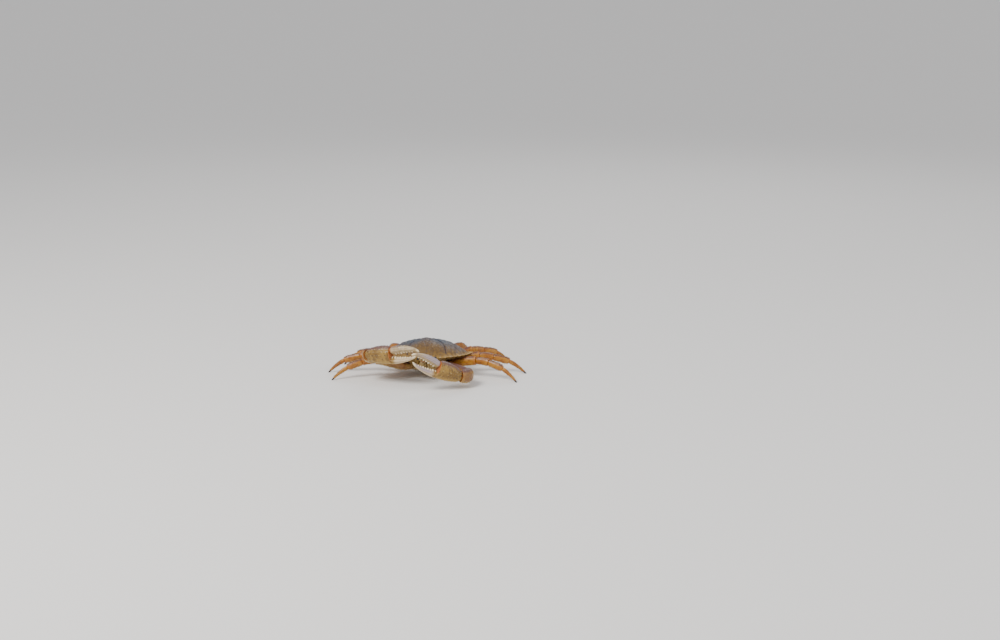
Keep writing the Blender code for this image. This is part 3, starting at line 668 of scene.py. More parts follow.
# The mouth's two outer doors, each a broad jointed leaf with a finger-like end folded over its inner
# corner and a slender branch along its outer side.  They are pale olive chitin, fringed with bristles.
SIDES = ((1, "left"), (-1, "right"))
LEAF_SIDE = 6.3
# One leaf from top to bottom: place, forward, up, half width and half thickness
LEAF_PROFILE = (
    (0.0, 39.6, -7.6, 2.2, 0.7),
    (0.06, 40.0, -8.2, 4.4, 1.7),
    (0.25, 40.5, -11.0, 5.6, 2.3),
    (0.5, 39.2, -16.0, 5.9, 2.6),
    (0.75, 37.0, -21.0, 5.5, 2.5),
    (0.94, 35.2, -24.8, 4.2, 1.8),
    (1.0, 34.8, -25.5, 2.0, 0.7),
)
# The joint across the leaf, and routes on the left side with half sizes: its folded end, its branch
LEAF_JOINT = 0.38
LEAF_SLANT = 0.016
LEAF_END_ROUTE = ((3.0, 42.4, -9.0), (2.2, 43.6, -12.0), (3.2, 43.4, -16.0), (4.6, 42.0, -18.5))
LEAF_END_SIZES = ((1.5, 1.2), (1.5, 1.2), (1.2, 1.0), (0.5, 0.4))
LEAF_BRANCH_ROUTE = ((11.6, 41.2, -8.2), (12.8, 40.8, -13.0), (12.6, 38.6, -19.0), (10.8, 36.0, -24.0))
LEAF_BRANCH_SIZES = ((0.8, 0.7), (1.3, 1.1), (1.4, 1.2), (0.8, 0.7))


def pipe(points, sizes, rows, rounds):
    """Rings square to a smooth line through the points, each an ellipse with the two half sizes.

    A ring is line + a * cos(angle) * first + b * sin(angle) * second, with both square to the line.
    """
    knots, place = np.linspace(0, 1, len(points)), np.linspace(0, 1, rows)
    line = curve(np.column_stack([knots, points]), place)
    size = curve(np.column_stack([knots, sizes]), place)
    way = np.gradient(line, axis=0)
    way /= np.linalg.norm(way, axis=1, keepdims=True)
    first = np.cross(way, (0.15, 0.25, 1.0))
    first /= np.linalg.norm(first, axis=1, keepdims=True)
    second = np.cross(way, first)
    angle = np.linspace(0, TAU, rounds, endpoint=False)[None, :, None]
    ring = size[:, None, :1] * np.cos(angle) * first[:, None]
    return line[:, None] + ring + size[:, None, 1:] * np.sin(angle) * second[:, None]


def body_pipe(sign, route, sizes, rows, rounds):
    """A pipe whose route is given on the left side of the body, mirrored where sign is -1."""
    points = np.array(route, float) * (sign, 1, 1)
    return pipe(stand(points[:, 0], points[:, 1], points[:, 2]), sizes, rows, rounds)


mouth_finish = shell_material(
    "mouth_shell",
    colours=((0.34, 0.22, 0.06), (0.48, 0.34, 0.13), (0.13, 0.07, 0.03)),
    scales=(110, 420, 0.58),
    # Darker along the leaf's joint, its own colour, and in its furrow, painted shade
    washes=(("seam", (0.10, 0.05, 0.025), 0.3, 1.0, 0.4), ("rim", (0.56, 0.40, 0.19), 0.4, 1.1, 0.5)),
    gloss=(0.34, 0.55),
    beads=(1300, 0.10, 0.06),
    coat=0.2,
)
leaves = {}
for sign, side_name in SIDES:
    along = np.linspace(0, 1, 90)
    leaf = curve(LEAF_PROFILE, along)
    angle = np.linspace(0, TAU, 80, endpoint=False)[None, :]
    across = leaf[:, 2:3] * signed_power(np.cos(angle), 0.75)
    thick = leaf[:, 3:4] * signed_power(np.sin(angle), 0.8)
    grid = stand(sign * (LEAF_SIDE + across), leaf[:, :1] + thick, leaf[:, 1:2] + 0 * across)
    joint = bell(along[:, None] - LEAF_JOINT + LEAF_SLANT * across, 0.011)
    furrow = bell(across + 2.4, 0.5) * ramp(along, 0.46, 0.56)[:, None] * (thick > 0)
    swelling = 0.5 * bell(along - 0.2, 0.1)[:, None] + 0.18 * ripple(grid, 4, 21)
    grid = push(grid, swelling - 0.55 * joint - 0.4 * furrow)
    leaves[sign] = grid
    # The joint's dark line is its own colour; the furrow's darker share is painted shade
    seam = np.clip(joint + 0.6 * furrow, 0, 1)
    edge = ramp(np.abs(across) / leaf[:, 2:3], 0.75, 1)
    grids = [grid]
    grids.append(body_pipe(sign, LEAF_END_ROUTE, LEAF_END_SIZES, 30, 20))
    grids.append(body_pipe(sign, LEAF_BRANCH_ROUTE, LEAF_BRANCH_SIZES, 36, 20))
    traits = {"seam": [seam, 0, 0], "rim": [edge, 0.4, 0]}
    door = make_piece(f"mouth_door_{side_name}", grids, traits, mouth_finish)
    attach(door, "root")
    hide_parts(f"maxilliped_{side_name}")


# The eyes stand on short movable stalks in the notches beside the brow: a glossy black bead, cupped
# by the shell of the stalk.
# The left stalk's root and tip, the bead's place between them and half sizes, and the stalk's sizes
EYE_ROOT = (10.5, 51.0, -4.2)
EYE_TIP = (17.5, 57.6, 1.6)
EYE_PLACE = 0.74
EYE_RADII = (2.7, 3.1, 2.9)
STALK_SHARES = (-0.1, 0.12, 0.3, 0.5, 0.66, 0.8)
STALK_SIZES = ((1.4, 1.4), (1.9, 1.8), (1.7, 1.6), (2.2, 2.0), (2.9, 2.7), (1.6, 1.6))
eye_finish = shell_material(
    "eye_bead",
    colours=((0.006, 0.0045, 0.004), (0.012, 0.008, 0.006), (0.02, 0.012, 0.008)),
    scales=(300, 900, 0.64),
    washes=(),
    gloss=(0.07, 0.13),
    beads=(5200, 0.01, 0.002),
    coat=0.0,
)
stalk_finish = shell_material(
    "stalk_shell",
    colours=((0.44, 0.31, 0.10), (0.62, 0.49, 0.24), (0.14, 0.065, 0.03)),
    scales=(240, 560, 0.585),
    washes=(),
    gloss=(0.28, 0.46),
    beads=(1800, 0.07, 0.04),
    coat=0.2,
)
for sign, side_name in SIDES:
    root, tip = np.array(EYE_ROOT), np.array(EYE_TIP)
    route = [root + (tip - root) * share for share in STALK_SHARES]
    stalk = make_piece(
        f"eye_stalk_{side_name}",
        [body_pipe(sign, route, STALK_SIZES, 40, 32)],
        {},
        stalk_finish,
    )
    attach(stalk, "root")
    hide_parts(f"eye_{side_name}")
    centre = root + (tip - root) * EYE_PLACE
    height = np.linspace(0.02, math.pi - 0.02, 40)[:, None]
    round_angle = np.linspace(0, TAU, 48, endpoint=False)[None, :]
    bead_side = sign * (centre[0] + EYE_RADII[0] * np.sin(height) * np.cos(round_angle))
    bead_forward = centre[1] + EYE_RADII[1] * np.sin(height) * np.sin(round_angle)
    bead_grid = stand(bead_side, bead_forward, centre[2] + EYE_RADII[2] * np.cos(height) + 0 * round_angle)
    eye = make_piece(f"eye_{side_name}_bead", [bead_grid], {}, eye_finish)
    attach(eye, "root")
    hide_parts(f"eye_{side_name}")


# The feelers: a thick jointed base and a short ringed whip beside each eye, and between them the
# folded inner feelers.  They are thin reddish chitin that bends at every ring.
# Routes on the left side, with half sizes along them: the outer feeler, then the folded inner one
FEELER_ROUTE = (
    (8.2, 49.0, -6.4),
    (8.8, 54.0, -6.2),
    (9.6, 58.0, -5.6),
    (11.0, 62.0, -3.6),
    (12.6, 66.0, -0.6),
    (14.6, 70.0, 3.2),
)
FEELER_SIZES = ((2.1, 2.0), (1.8, 1.7), (1.15, 1.1), (0.7, 0.7), (0.48, 0.48), (0.22, 0.22))
FEELER_RINGS = 34
INNER_ROUTE = ((2.6, 50, -6.4), (3.4, 54, -6.6), (5.2, 56.6, -5.8), (7.0, 55.6, -4.2))
INNER_SIZES = ((1.5, 1.3), (1.3, 1.2), (0.9, 0.9), (0.35, 0.35))
feeler_finish = shell_material(
    "feeler_shell",
    colours=((0.34, 0.15, 0.06), (0.46, 0.26, 0.12), (0.16, 0.06, 0.04)),
    scales=(260, 700, 0.6),
    washes=(("seam", (0.62, 0.46, 0.28), 0.4, 1.0, 0.3),),
    gloss=(0.3, 0.5),
    beads=(2000, 0.05, 0.03),
    coat=0.25,
)
for sign, side_name in SIDES:
    outer = body_pipe(sign, FEELER_ROUTE, FEELER_SIZES, 240, 20)
    rings = np.abs(np.sin(math.pi * FEELER_RINGS * np.linspace(0, 1, 240)))[:, None]
    outer = push(outer, 0.12 * (rings - 0.5))
    inner = body_pipe(sign, INNER_ROUTE, INNER_SIZES, 50, 18)
    feeler = make_piece(f"feeler_{side_name}", [outer, inner], {"seam": [1 - rings, 0]}, feeler_finish)
    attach(feeler, "root")
    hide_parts(f"antenna_{side_name}")


# The claw arms: a short base and a three-sided upper arm, then a knobbly bent wrist plate with a spine
# on its inner side.  Each plate is a hard tube whose narrow neck sits in the rim of the one before it,
# joined by a band of soft skin.
# Sizes of the base, the upper arm and the wrist
ARM_LENGTHS = (14, 52, 38)
ARM_HALF_HEIGHTS = (7.6, 9.6, 12.6)
ARM_HALF_THICKNESSES = (6.4, 7.2, 10.4)
# Heading ahead of straight sideways and pitch, in degrees: base, upper arm, wrist in, wrist out, palm
ARM_POSES = {
    1: ((46, 0), (48, -3), (80, 0), (150, 8), (165, 22)),
    -1: ((26, 4), (6, 18), (12, 26), (95, 14), (158, 5)),
}
# The wrist's spine, and the turns of its lower ridges in degrees
WRIST_SPINE = 3.4
WRIST_RIDGES = (20, 160, 200, 340)
# Size of the base and of the upper arm at root and end, as shares of their greatest
ARM_FORMS = (("base", 0.86, 0.95), ("merus", 0.72, 0.95))
# The wrist from neck to rim: place along it, share of its bent line, and size
WRIST_PROFILE = (
    (0.0, -0.10, 0.2),
    (0.05, -0.08, 0.58),
    (0.10, 0.0, 0.70),
    (0.18, 0.06, 0.84),
    (0.35, 0.26, 0.96),
    (0.55, 0.52, 1.0),
    (0.75, 0.80, 0.98),
    (0.88, 0.97, 0.87),
    (0.92, 1.0, 0.80),
    (0.96, 0.97, 0.66),
    (1.0, 0.93, 0.15),
)


def direction(sign, ahead, pitch):
    """A unit direction ahead of straight sideways and pitch above level, both in degrees.

    It is (cos ahead * cos pitch, -sin ahead * cos pitch, sin pitch), mirrored where sign is -1.
    """
    ahead, pitch = math.radians(ahead), math.radians(pitch)
    flat = math.cos(pitch)
    return np.array([sign * math.cos(ahead) * flat, -math.sin(ahead) * flat, math.sin(pitch)])


def section(along):
    """The upward and the sideways unit direction square to a limb, for one direction or many.

    Upward is the up axis less its part along the limb, and sideways is the limb crossed with it.
    """
    up = np.array([0, 0, 1.0]) - along[..., 2:3] * along
    up /= np.linalg.norm(up, axis=-1, keepdims=True)
    return up, np.cross(along, up)


def halving(first, second):
    """The unit direction half-way between two, their sum over its length: square to the bend's plane."""
    total = first + second
    return total / np.linalg.norm(total, axis=-1, keepdims=True)


def hip(sign, angle):
    """Where a limb leaves the breastplate's ellipse, and the outward direction there.

    The point is (a * cos, b * sin) for half sizes a and b, and outward is (cos / a, sin / b) made unit.
    """
    across, ahead = math.cos(math.radians(angle)), math.sin(math.radians(angle))
    out = np.array([across / BREAST_HALF_WIDTH, ahead / BREAST_HALF_LENGTH])
    out /= np.linalg.norm(out)
    point = stand(sign * BREAST_HALF_WIDTH * across, BREAST_MIDDLE + BREAST_HALF_LENGTH * ahead, -HIP_DEPTH)
    return point, np.array([sign * out[0], -out[1] * math.cos(NOSE_UP), out[1] * math.sin(NOSE_UP)])


def angle_gap(angle, place):
    """The size of the turn from an angle to a place, in degrees both."""
    return np.degrees(np.abs((angle - math.radians(place) + math.pi) % TAU - math.pi))


def lumps(points, size, seed):
    """0 to 1 in rounded lumps about size apart: a ripple with its lower half cut off."""
    return ramp(ripple(points, size, seed), -0.3, 1.3)


def plate_rows(root, end, count):
    """Rows of a limb plate: place, share of the length and size, from neck to body to rim and socket.

    The neck lies at shares below 0 and the socket turns back in from the rim at share 1.
    """
    table = (
        (0.0, -0.075, 0.12),
        (0.04, -0.07, 0.62 * root),
        (0.09, -0.02, 0.82 * root),
        (0.12, 0.0, 0.95 * root),
        (0.17, 0.06, 0.5 + 0.5 * root),
        (0.30, 0.22, 0.96),
        (0.52, 0.52, 1.0),
        (0.72, 0.80, 0.99),
        (0.83, 0.94, 0.35 + 0.65 * end),
        (0.88, 0.99, end),
        (0.91, 1.0, 0.93 * end),
        (0.95, 0.975, 0.78 * end),
        (1.0, 0.955, 0.12),
    )
    place = np.linspace(0, 1, count)
    return place[:, None], *(column[:, None] for column in curve(table, place).T)


def limb(start, along, length, planes, share, high, thick, lift, rounds):
    """Rings of a limb plate, and their angles, whose lengthwise lines join two joint planes.

    A point off the axis by high * S(sin) + lift upwards and thick * S(cos) sideways, S being a power
    that squares the section a little, lies at its share of its own line between the planes.
    """
    up, across = section(along)
    angle = np.linspace(0, TAU, rounds, endpoint=False)[None, :]
    rise = high * signed_power(np.sin(angle), 0.9) + lift
    off = rise[..., None] * up + (thick * signed_power(np.cos(angle), 0.92))[..., None] * across
    begin = -(off @ planes[0]) / (along @ planes[0])
    finish = length - (off @ planes[1]) / (along @ planes[1])
    run = begin + (finish - begin) * share
    return start + off + run[..., None] * along, angle


def joint_trait(place):
    """1 on the soft neck and in the socket of a plate, by its place from 0 to 1."""
    return 1 - ramp(place, 0.09, 0.12) + ramp(place, 0.9, 0.92)


arm_finish = shell_material(
    "arm_shell",
    colours=((0.26, 0.115, 0.025), (0.38, 0.21, 0.05), (0.10, 0.045, 0.03)),
    scales=(60, 320, 0.58),
    washes=(
        ("top", (0.105, 0.046, 0.042), 0.4, 1.0, 1.0),
        ("low", (0.50, 0.32, 0.10), 0.4, 1.1, 0.7),
        ("ridge", (0.54, 0.36, 0.16), 0.3, 1.3, 0.6),
        ("joint", (0.44, 0.19, 0.06), 0.4, 0.6, 0.0),
    ),
    gloss=(0.3, 0.48),
    beads=(820, 0.16, 0.05),
    coat=0.2,
)
arm_plates, wrists = {}, {}
for sign, side_name in SIDES:
    joint, away = hip(sign, CLAW_HIP_ANGLE)
    ways = [direction(sign, *pose) for pose in ARM_POSES[sign]]
    planes = [away, halving(ways[0], ways[1]), halving(ways[1], ways[2])]
    for number, (part, root, end) in enumerate(ARM_FORMS):
        place, share, size = plate_rows(root, end, 110)
        high, thick = ARM_HALF_HEIGHTS[number] * size, ARM_HALF_THICKNESSES[number] * size
        bounds = planes[number : number + 2]
        grid, angle = limb(joint, ways[number], ARM_LENGTHS[number], bounds, share, high, thick, 0, 80)
        middle = ramp(share, 0.02, 0.15) * (1 - ramp(share, 0.9, 0.99))
        saw = 0.3 + 0.7 * lumps(grid, 5, 32)
        ridge = bell(angle_gap(angle, 90), 9) * saw
        ridge = np.maximum(ridge, 0.7 * bell(angle_gap(angle, 215), 9) * saw) * middle
        ridge = np.maximum(ridge, 0.7 * bell(angle_gap(angle, 325), 9) * saw * middle)
        flats = 0.8 * bell(angle_gap(angle, 270), 30) + 0.4 * bell(angle_gap(angle, 150), 25)
        grid = push(grid, 0.9 * ridge - flats * middle + 0.1 * ripple(grid, 5, 31 + number))
        arm_plates[sign, part] = grid
        traits = {"top": [ramp(np.sin(angle), 0.1, 1)], "low": [ramp(-np.sin(angle), 0, 0.9)]}
        traits |= {"ridge": [ridge], "joint": [joint_trait(place)]}
        plate = make_piece(f"arm_{side_name}_{part}", [grid], traits, arm_finish)
        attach(plate, "root")
        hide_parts(f"claw_{side_name}_{part}")
        joint = joint + ways[number] * ARM_LENGTHS[number]

    # The wrist follows a quadratic curve from the upper arm's end round its corner to the palm
    half = ARM_LENGTHS[2] / 2
    corner = joint + ways[2] * half
    wrist = corner + ways[3] * half
    place = np.linspace(0, 1, 130)
    share, size = (column[:, None] for column in curve(WRIST_PROFILE, place).T)
    line = joint * (1 - share) ** 2 + corner * 2 * share * (1 - share) + wrist * share**2
    held = np.clip(share, 0, 1)
    way = halving(ways[2] * (1 - held), ways[3] * held)
    first, last = ramp(held, 0.3, 0), ramp(held, 0.7, 1)
    out_plane = halving(ways[3], ways[4])
    plane = way * (1 - first - last) + planes[2] * first + out_plane * last
    up, across = section(way)
    angle = np.linspace(0, TAU, 96, endpoint=False)[None, :]
    rise = (ARM_HALF_HEIGHTS[2] * size * signed_power(np.sin(angle), 0.9))[..., None]
    wide = (ARM_HALF_THICKNESSES[2] * size * signed_power(np.cos(angle), 0.92))[..., None]
    off = rise * up[:, None] + wide * across[:, None]
    slip = (off * plane[:, None]).sum(-1) / (way * plane).sum(-1)[:, None]
    grid = line[:, None] + off - slip[..., None] * way[:, None]
    # Six knobbly ridges run along it, and one strong spine stands on its inner side
    middle = ramp(share, 0.03, 0.2) * (1 - ramp(share, 0.88, 0.98))
    knobs = 0.2 + 0.8 * lumps(grid, 4.5, 34)
    ridge = 0.9 * bell(angle_gap(angle, 62), 6) * knobs
    ridge = np.maximum(ridge, 0.9 * bell(angle_gap(angle, 118), 6) * knobs)
    for outer_ridge in WRIST_RIDGES:
        ridge = np.maximum(ridge, 0.6 * bell(angle_gap(angle, outer_ridge), 6) * knobs)
    ridge = ridge * middle
    inner = 0 if sign > 0 else 180
    spine = bell(share - 0.62, 0.075) * bell(angle_gap(angle, inner + sign * 28), 10)
    grid = push(grid, 0.9 * ridge + 0.15 * ripple(grid, 5, 35) * middle)
    grid = push(grid, WRIST_SPINE * spine**1.5)
    traits = {"top": [ramp(np.sin(angle), 0.1, 1)], "low": [ramp(-np.sin(angle), 0.2, 1)]}
    traits |= {"ridge": [np.clip(ridge + spine, 0, 1)], "joint": [joint_trait(place)[:, None]]}
    plate = make_piece(f"arm_{side_name}_wrist", [grid], traits, arm_finish)
    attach(plate, "root")
    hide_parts(f"claw_{side_name}_carpus")
    arm_plates[sign, "carpus"] = grid
    wrists[sign] = (wrist, ways[4], out_plane)


# The palms: a deep, flattened hand with rows of beads along its outer face and two rows of spines on
# its upper edge.  It ends below in the fixed finger, which is part of the same plate and carries the
# lower row of biting teeth.
PALM_LENGTH = 94
# Top, bottom and half thickness of the hand and its fixed finger, each by the share of the length
PALM_TOP = (
    (-0.05, 8.0),
    (0, 8.6),
    (0.07, 12.0),
    (0.2, 15.6),
    (0.34, 17.0),
    (0.44, 16.4),
    (0.5, 14.6),
    (1, 0),
)
FIXED_TOP = (
    (-0.05, 0),
    (0.46, -3.4),
    (0.5, -3.6),
    (0.62, -4.8),
    (0.76, -5.0),
    (0.9, -4.0),
    (0.97, -2.2),
    (1, -1.2),
)
PALM_BOTTOM = (
    (-0.05, -8.0),
    (0, -8.6),
    (0.07, -11.8),
    (0.2, -14.8),
    (0.34, -16.2),
    (0.475, -16.6),
    (0.62, -15.8),
    (0.76, -13.4),
    (0.9, -9.2),
    (0.97, -5.8),
    (1.0, -2.8),
)
PALM_THICKNESS = (
    (-0.05, 6.8),
    (0, 7.4),
    (0.07, 9.2),
    (0.2, 10.7),
    (0.34, 11.0),
    (0.475, 10.0),
    (0.62, 7.4),
    (0.76, 6.0),
    (0.9, 3.9),
    (0.97, 2.2),
    (1.0, 0.8),
)
# Shares of the length and sizes of the palm's neck, then the rows of the hand, its end and its finger
PALM_NECK = ((-0.05, -0.048, -0.035, -0.01, 0.002), (0.1, 0.45, 0.6, 0.66, 0.72))
PALM_ROWS = ((0.008, 0.455, 90), (0.458, 0.512, 34), (0.516, 1, 150))
# Heights on the palm's side of its rows of beads, and on the fixed finger's, from -1 to 1
PALM_RIDGES = (0.72, 0.4, 0.08, -0.24, -0.56)
FIXED_RIDGES = (-0.05, -0.6)
# Spines in each row, the share of the length that the hand takes, and the share that its rows slant
PALM_SPINES = 7
HAND_SHARE = 0.46
WRIST_SPAN = 0.34
# How far the lilac grey spreads on the fingers of each side
LILAC = {1: 0.95, -1: 0.5}
# Heights of the biting teeth from the hinge to the tip
TOOTH_HEIGHTS = (1.1, 2.1, 1.5, 2.4, 1.7, 2.1, 1.3, 1.5, 0.8, 0.6)


def biting_teeth(share):
    """The saw of teeth along a finger: blunt triangles, each of its own height.

    A tooth is its height times the mean of a triangle wave and of that wave on a smooth S.
    """
    count = np.clip(share, 0, 0.999) * len(TOOTH_HEIGHTS)
    point = 1 - np.abs(2 * (count % 1) - 1)
    return np.array(TOOTH_HEIGHTS)[count.astype(int)] * (0.5 * point + 0.5 * ramp(point, 0, 1))


CLAW_WASHES = (
    ("top", (0.125, 0.06, 0.06), 0.45, 1.1, 1.0),
    ("low", (0.49, 0.30, 0.065), 0.3, 1.25, 0.8),
    ("digit", (0.57, 0.44, 0.265), 0.35, 0.9, 0.5),
    ("lilac", (0.34, 0.27, 0.30), 0.3, 1.1, 0.9),
    ("ridge", (0.62, 0.47, 0.23), 0.35, 1.3, 0.6),
    # Darker in the groove of the fixed finger and the grooves of the hinged finger: painted shade
    ("seam", (0.15, 0.08, 0.06), 0.3, 1.1, 0.4),
    ("tip", (0.78, 0.65, 0.43), 0.3, 0.9, 0.4),
    ("joint", (0.38, 0.115, 0.02), 0.4, 0.7, 0.1),
)
palm_finish = shell_material(
    "palm_shell",
    colours=((0.215, 0.115, 0.018), (0.37, 0.22, 0.042), (0.07, 0.034, 0.018)),
    scales=(62, 330, 0.56),
    washes=CLAW_WASHES,
    gloss=(0.28, 0.46),
    beads=(760, 0.15, 0.05),
    coat=0.22,
)
for sign, side_name in SIDES:
    wrist, along, plane = wrists[sign]
    up, across = section(along)
    body = np.concatenate([np.linspace(*rows) for rows in PALM_ROWS])
    share = np.concatenate([PALM_NECK[0], body])[:, None]
    shrink = np.concatenate([PALM_NECK[1], 1 - 0.25 * np.exp(-body / 0.02)])[:, None]
    digit = ramp(share, 0.468, 0.502)
    top = curve(PALM_TOP, share[:, 0]) * (1 - digit) + curve(FIXED_TOP, share[:, 0]) * digit
    bottom, thick = curve(PALM_BOTTOM, share[:, 0]), curve(PALM_THICKNESS, share[:, 0])
    angle = np.linspace(0, TAU, 120, endpoint=False)[None, :]
    level = signed_power(np.sin(angle), 0.9)
    edge = 1 - 0.5 * ramp(share, 0.49, 0.56) * ramp(np.sin(angle), 0.1, 1)
    rise = (0.5 * (top + bottom) + 0.5 * (top - bottom) * level) * shrink
    teeth = biting_teeth((share - 0.5) / 0.5) * (share > 0.5)
    rise = rise + teeth * ramp(np.sin(angle), 0.8, 1)
    wide = thick * signed_power(np.cos(angle), 0.88) * edge * shrink
    off = rise[..., None] * up + wide[..., None] * across
    # The rows near the wrist slant into the plane that halves the bend there
    begin = -(off @ plane) / (along @ plane)
    run = share * PALM_LENGTH
    run = run + begin * np.clip(1 - share / WRIST_SPAN, 0, 1)
    grid = wrist + off + run[..., None] * along
    # Beads and spines on the hand, two ridges and a groove on the fixed finger
    outer = ramp(-sign * np.cos(angle), -0.15, 0.35)
    hand = ramp(share, 0.03, 0.12) * (1 - ramp(share, 0.44, 0.49))
    beads = (0.3 + 0.7 * lumps(grid, 2.8, 42)) * (0.25 + 0.75 * outer)
    ridge = np.max([bell(level - height, 0.055) for height in PALM_RIDGES], 0) * beads
    finger_ridge = np.max([bell(level - height, 0.07) for height in FIXED_RIDGES], 0)
    finger_ridge = finger_ridge * ramp(share, 0.5, 0.58) * (1 - ramp(share, 0.85, 0.95))
    ridge = ridge * hand + 0.6 * finger_ridge
    pits = bell(level + 0.32, 0.1) * ramp(share, 0.5, 0.58) * (1 - ramp(share, 0.8, 0.93))
    spine_row = np.clip(np.sin(TAU * PALM_SPINES * share / HAND_SHARE), 0, 1) ** 2
    spines = np.maximum(bell(angle_gap(angle, 68), 4), bell(angle_gap(angle, 112), 4)) * spine_row * hand
    uneven = 0.16 * ripple(grid, 8, 41) * hand + 0.08 * ripple(grid, 3, 43)
    grid = push(grid, 0.6 * ridge - 0.4 * pits + 1.2 * spines + uneven)
    face = ramp(share, 0.468, 0.476) * (1 - ramp(share, 0.494, 0.504)) * (np.sin(angle) > 0.05)
    traits = {
        "top": [ramp(np.sin(angle), 0.2, 1) * (1 - digit)],
        "low": [ramp(-np.sin(angle), 0.1, 1)],
        "digit": [ramp(share, 0.46, 0.66) + 0 * angle],
        "lilac": [LILAC[sign] * ramp(share, 0.4, 0.7) * (0.4 + 0.6 * ramp(np.sin(angle), -0.6, 0.4))],
        "ridge": [np.clip(ridge + 0.7 * spines, 0, 1)],
        # The groove along the fixed finger, darkened as painted shade
        "seam": [pits],
        "tip": [np.maximum(ramp(share, 0.86, 1), ramp(teeth, 0.2, 1.4) * (np.sin(angle) > 0.75))],
        "joint": [np.maximum(face, 1 - ramp(share, 0.0, 0.012))],
    }
    palm = make_piece(f"palm_{side_name}", [grid], traits, palm_finish)
    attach(palm, "root")
    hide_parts(f"claw_{side_name}_palm")


# The hinged fingers, which close down on the fixed ones.  Each is one solid, curved plate with a
# knuckle that turns in the end of the palm, a row of spines on its back and grooves along its sides.
# The hinge's place on the palm, and how far each finger is open there, in degrees
HINGE_ALONG = 0.49
HINGE_UP = 8.2
HINGE_CLEARANCE = 1.4
FINGER_LENGTH = 53
FINGER_OPEN = {1: 9, -1: 4}
# Spines in each row, heights of the grooves on the finger's side, and the rows of its mesh
BACK_SPINES = 9
FINGER_GROOVES = (0.28, -0.28)
FINGER_ROWS = ((-0.09, -0.03, 12), (-0.025, 1, 170))
# One finger from knuckle to tip: share of the length, top, bottom and half thickness
FINGER_PROFILE = (
    (-0.09, 0.6, -0.8, 0.8),
    (-0.08, 3.4, -3.4, 3.6),
    (-0.03, 4.6, -4.4, 5.0),
    (0.06, 6.4, -5.8, 6.8),
    (0.20, 7.2, -6.0, 7.2),
    (0.45, 6.8, -4.8, 6.0),
    (0.70, 4.2, -4.8, 4.6),
    (0.90, -0.4, -5.4, 2.9),
    (0.985, -4.3, -6.7, 1.1),
    (1.0, -5.6, -6.8, 0.4),
)
finger_finish = shell_material(
    "finger_shell",
    colours=((0.46, 0.33, 0.145), (0.57, 0.44, 0.25), (0.24, 0.15, 0.10)),
    scales=(75, 340, 0.6),
    washes=CLAW_WASHES,
    gloss=(0.26, 0.42),
    beads=(900, 0.08, 0.04),
    coat=0.25,
)
for sign, side_name in SIDES:
    wrist, along, _ = wrists[sign]
    up, across = section(along)
    hinge = wrist + along * (HINGE_ALONG * PALM_LENGTH + HINGE_CLEARANCE) + up * HINGE_UP
    swing = math.radians(FINGER_OPEN[sign])
    reach = along * math.cos(swing) + up * math.sin(swing)
    lift = up * math.cos(swing) - along * math.sin(swing)
    share = np.concatenate([np.linspace(*rows) for rows in FINGER_ROWS])
    top, bottom, thick = (column[:, None] for column in curve(FINGER_PROFILE, share).T)
    share = share[:, None]
    angle = np.linspace(0, TAU, 112, endpoint=False)[None, :]
    level = signed_power(np.sin(angle), 0.9)
    edge = 1 - 0.5 * ramp(share, 0.04, 0.14) * ramp(-np.sin(angle), 0.1, 1)
    teeth = biting_teeth(share) * ramp(share, 0.02, 0.08)
    rise = 0.5 * (top + bottom) + 0.5 * (top - bottom) * level - teeth * ramp(-np.sin(angle), 0.8, 1)
    wide = thick * signed_power(np.cos(angle), 0.88) * edge
    grid = hinge + rise[..., None] * lift + wide[..., None] * across
    grid = grid + (share * FINGER_LENGTH)[..., None] * reach
    # Two grooves along each side, two rows of spines on the back, and a collar over the knuckle
    body = ramp(share, 0.06, 0.16) * (1 - ramp(share, 0.84, 0.95))
    grooves = np.max([bell(level - height, 0.09) for height in FINGER_GROOVES], 0) * body
    back_row = np.clip(np.sin(TAU * BACK_SPINES * share), 0, 1) ** 2 * ramp(share, 0.04, 0.1)
    back_row = back_row * (1 - ramp(share, 0.5, 0.75))
    spines = np.maximum(bell(angle_gap(angle, 72), 5), bell(angle_gap(angle, 108), 5)) * back_row
    collar = bell(share - 0.035, 0.018)
    grid = push(grid, 0.9 * spines - 0.45 * grooves + 0.4 * collar + 0.1 * ripple(grid, 4, 51))
    traits = {
        "top": [ramp(np.sin(angle), 0.3, 1) * (1 - ramp(share, 0.25, 0.7)) * 0.9],
        "low": [ramp(-np.sin(angle), 0.2, 1) * 0.5],
        "lilac": [LILAC[sign] * (1 - 0.5 * ramp(share, 0.3, 0.9)) * ramp(np.sin(angle), -0.9, 0.1)],
        "ridge": [0.8 * spines],
        # The grooves along the finger's sides, darkened as painted shade
        "seam": [grooves * 0.8],
        "tip": [np.maximum(ramp(share, 0.8, 1), ramp(teeth, 0.2, 1.4) * (np.sin(angle) < -0.75))],
        "joint": [1 - ramp(share, -0.02, 0.012)],
    }
    finger = make_piece(f"finger_{side_name}", [grid], traits, finger_finish)
    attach(finger, "root")
    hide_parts(f"claw_{side_name}_finger")


# The eight walking legs, each five tubes of chitin in a row: a short base, a long keeled thigh, a
# ridged knee plate, a flattened shank, and a grooved claw that tapers to a dark, worn tip on the floor.
LEG_PARTS = ("base", "merus", "carpus", "propodus", "dactyl")
# Length, half height and half thickness of each kind of plate, for the front leg to the hind one
LEG_BASES = ((13, 7.0, 5.6), (13, 7.0, 5.8), (13, 6.8, 5.6), (11, 5.6, 4.8))
LEG_THIGHS = ((46, 8.4, 5.6), (49, 8.6, 5.7), (45, 8.2, 5.5), (36, 7.0, 4.7))
LEG_KNEES = ((24, 7.0, 5.6), (25, 7.2, 5.7), (23, 6.9, 5.5), (18, 6.0, 4.7))
LEG_SHANKS = ((29, 6.4, 4.8), (31, 6.6, 4.9), (29, 6.4, 4.7), (22, 6.2, 3.7))
LEG_CLAWS = ((36, 4.5, 3.6), (38, 4.6, 3.7), (36, 4.4, 3.6), (27, 4.8, 2.8))
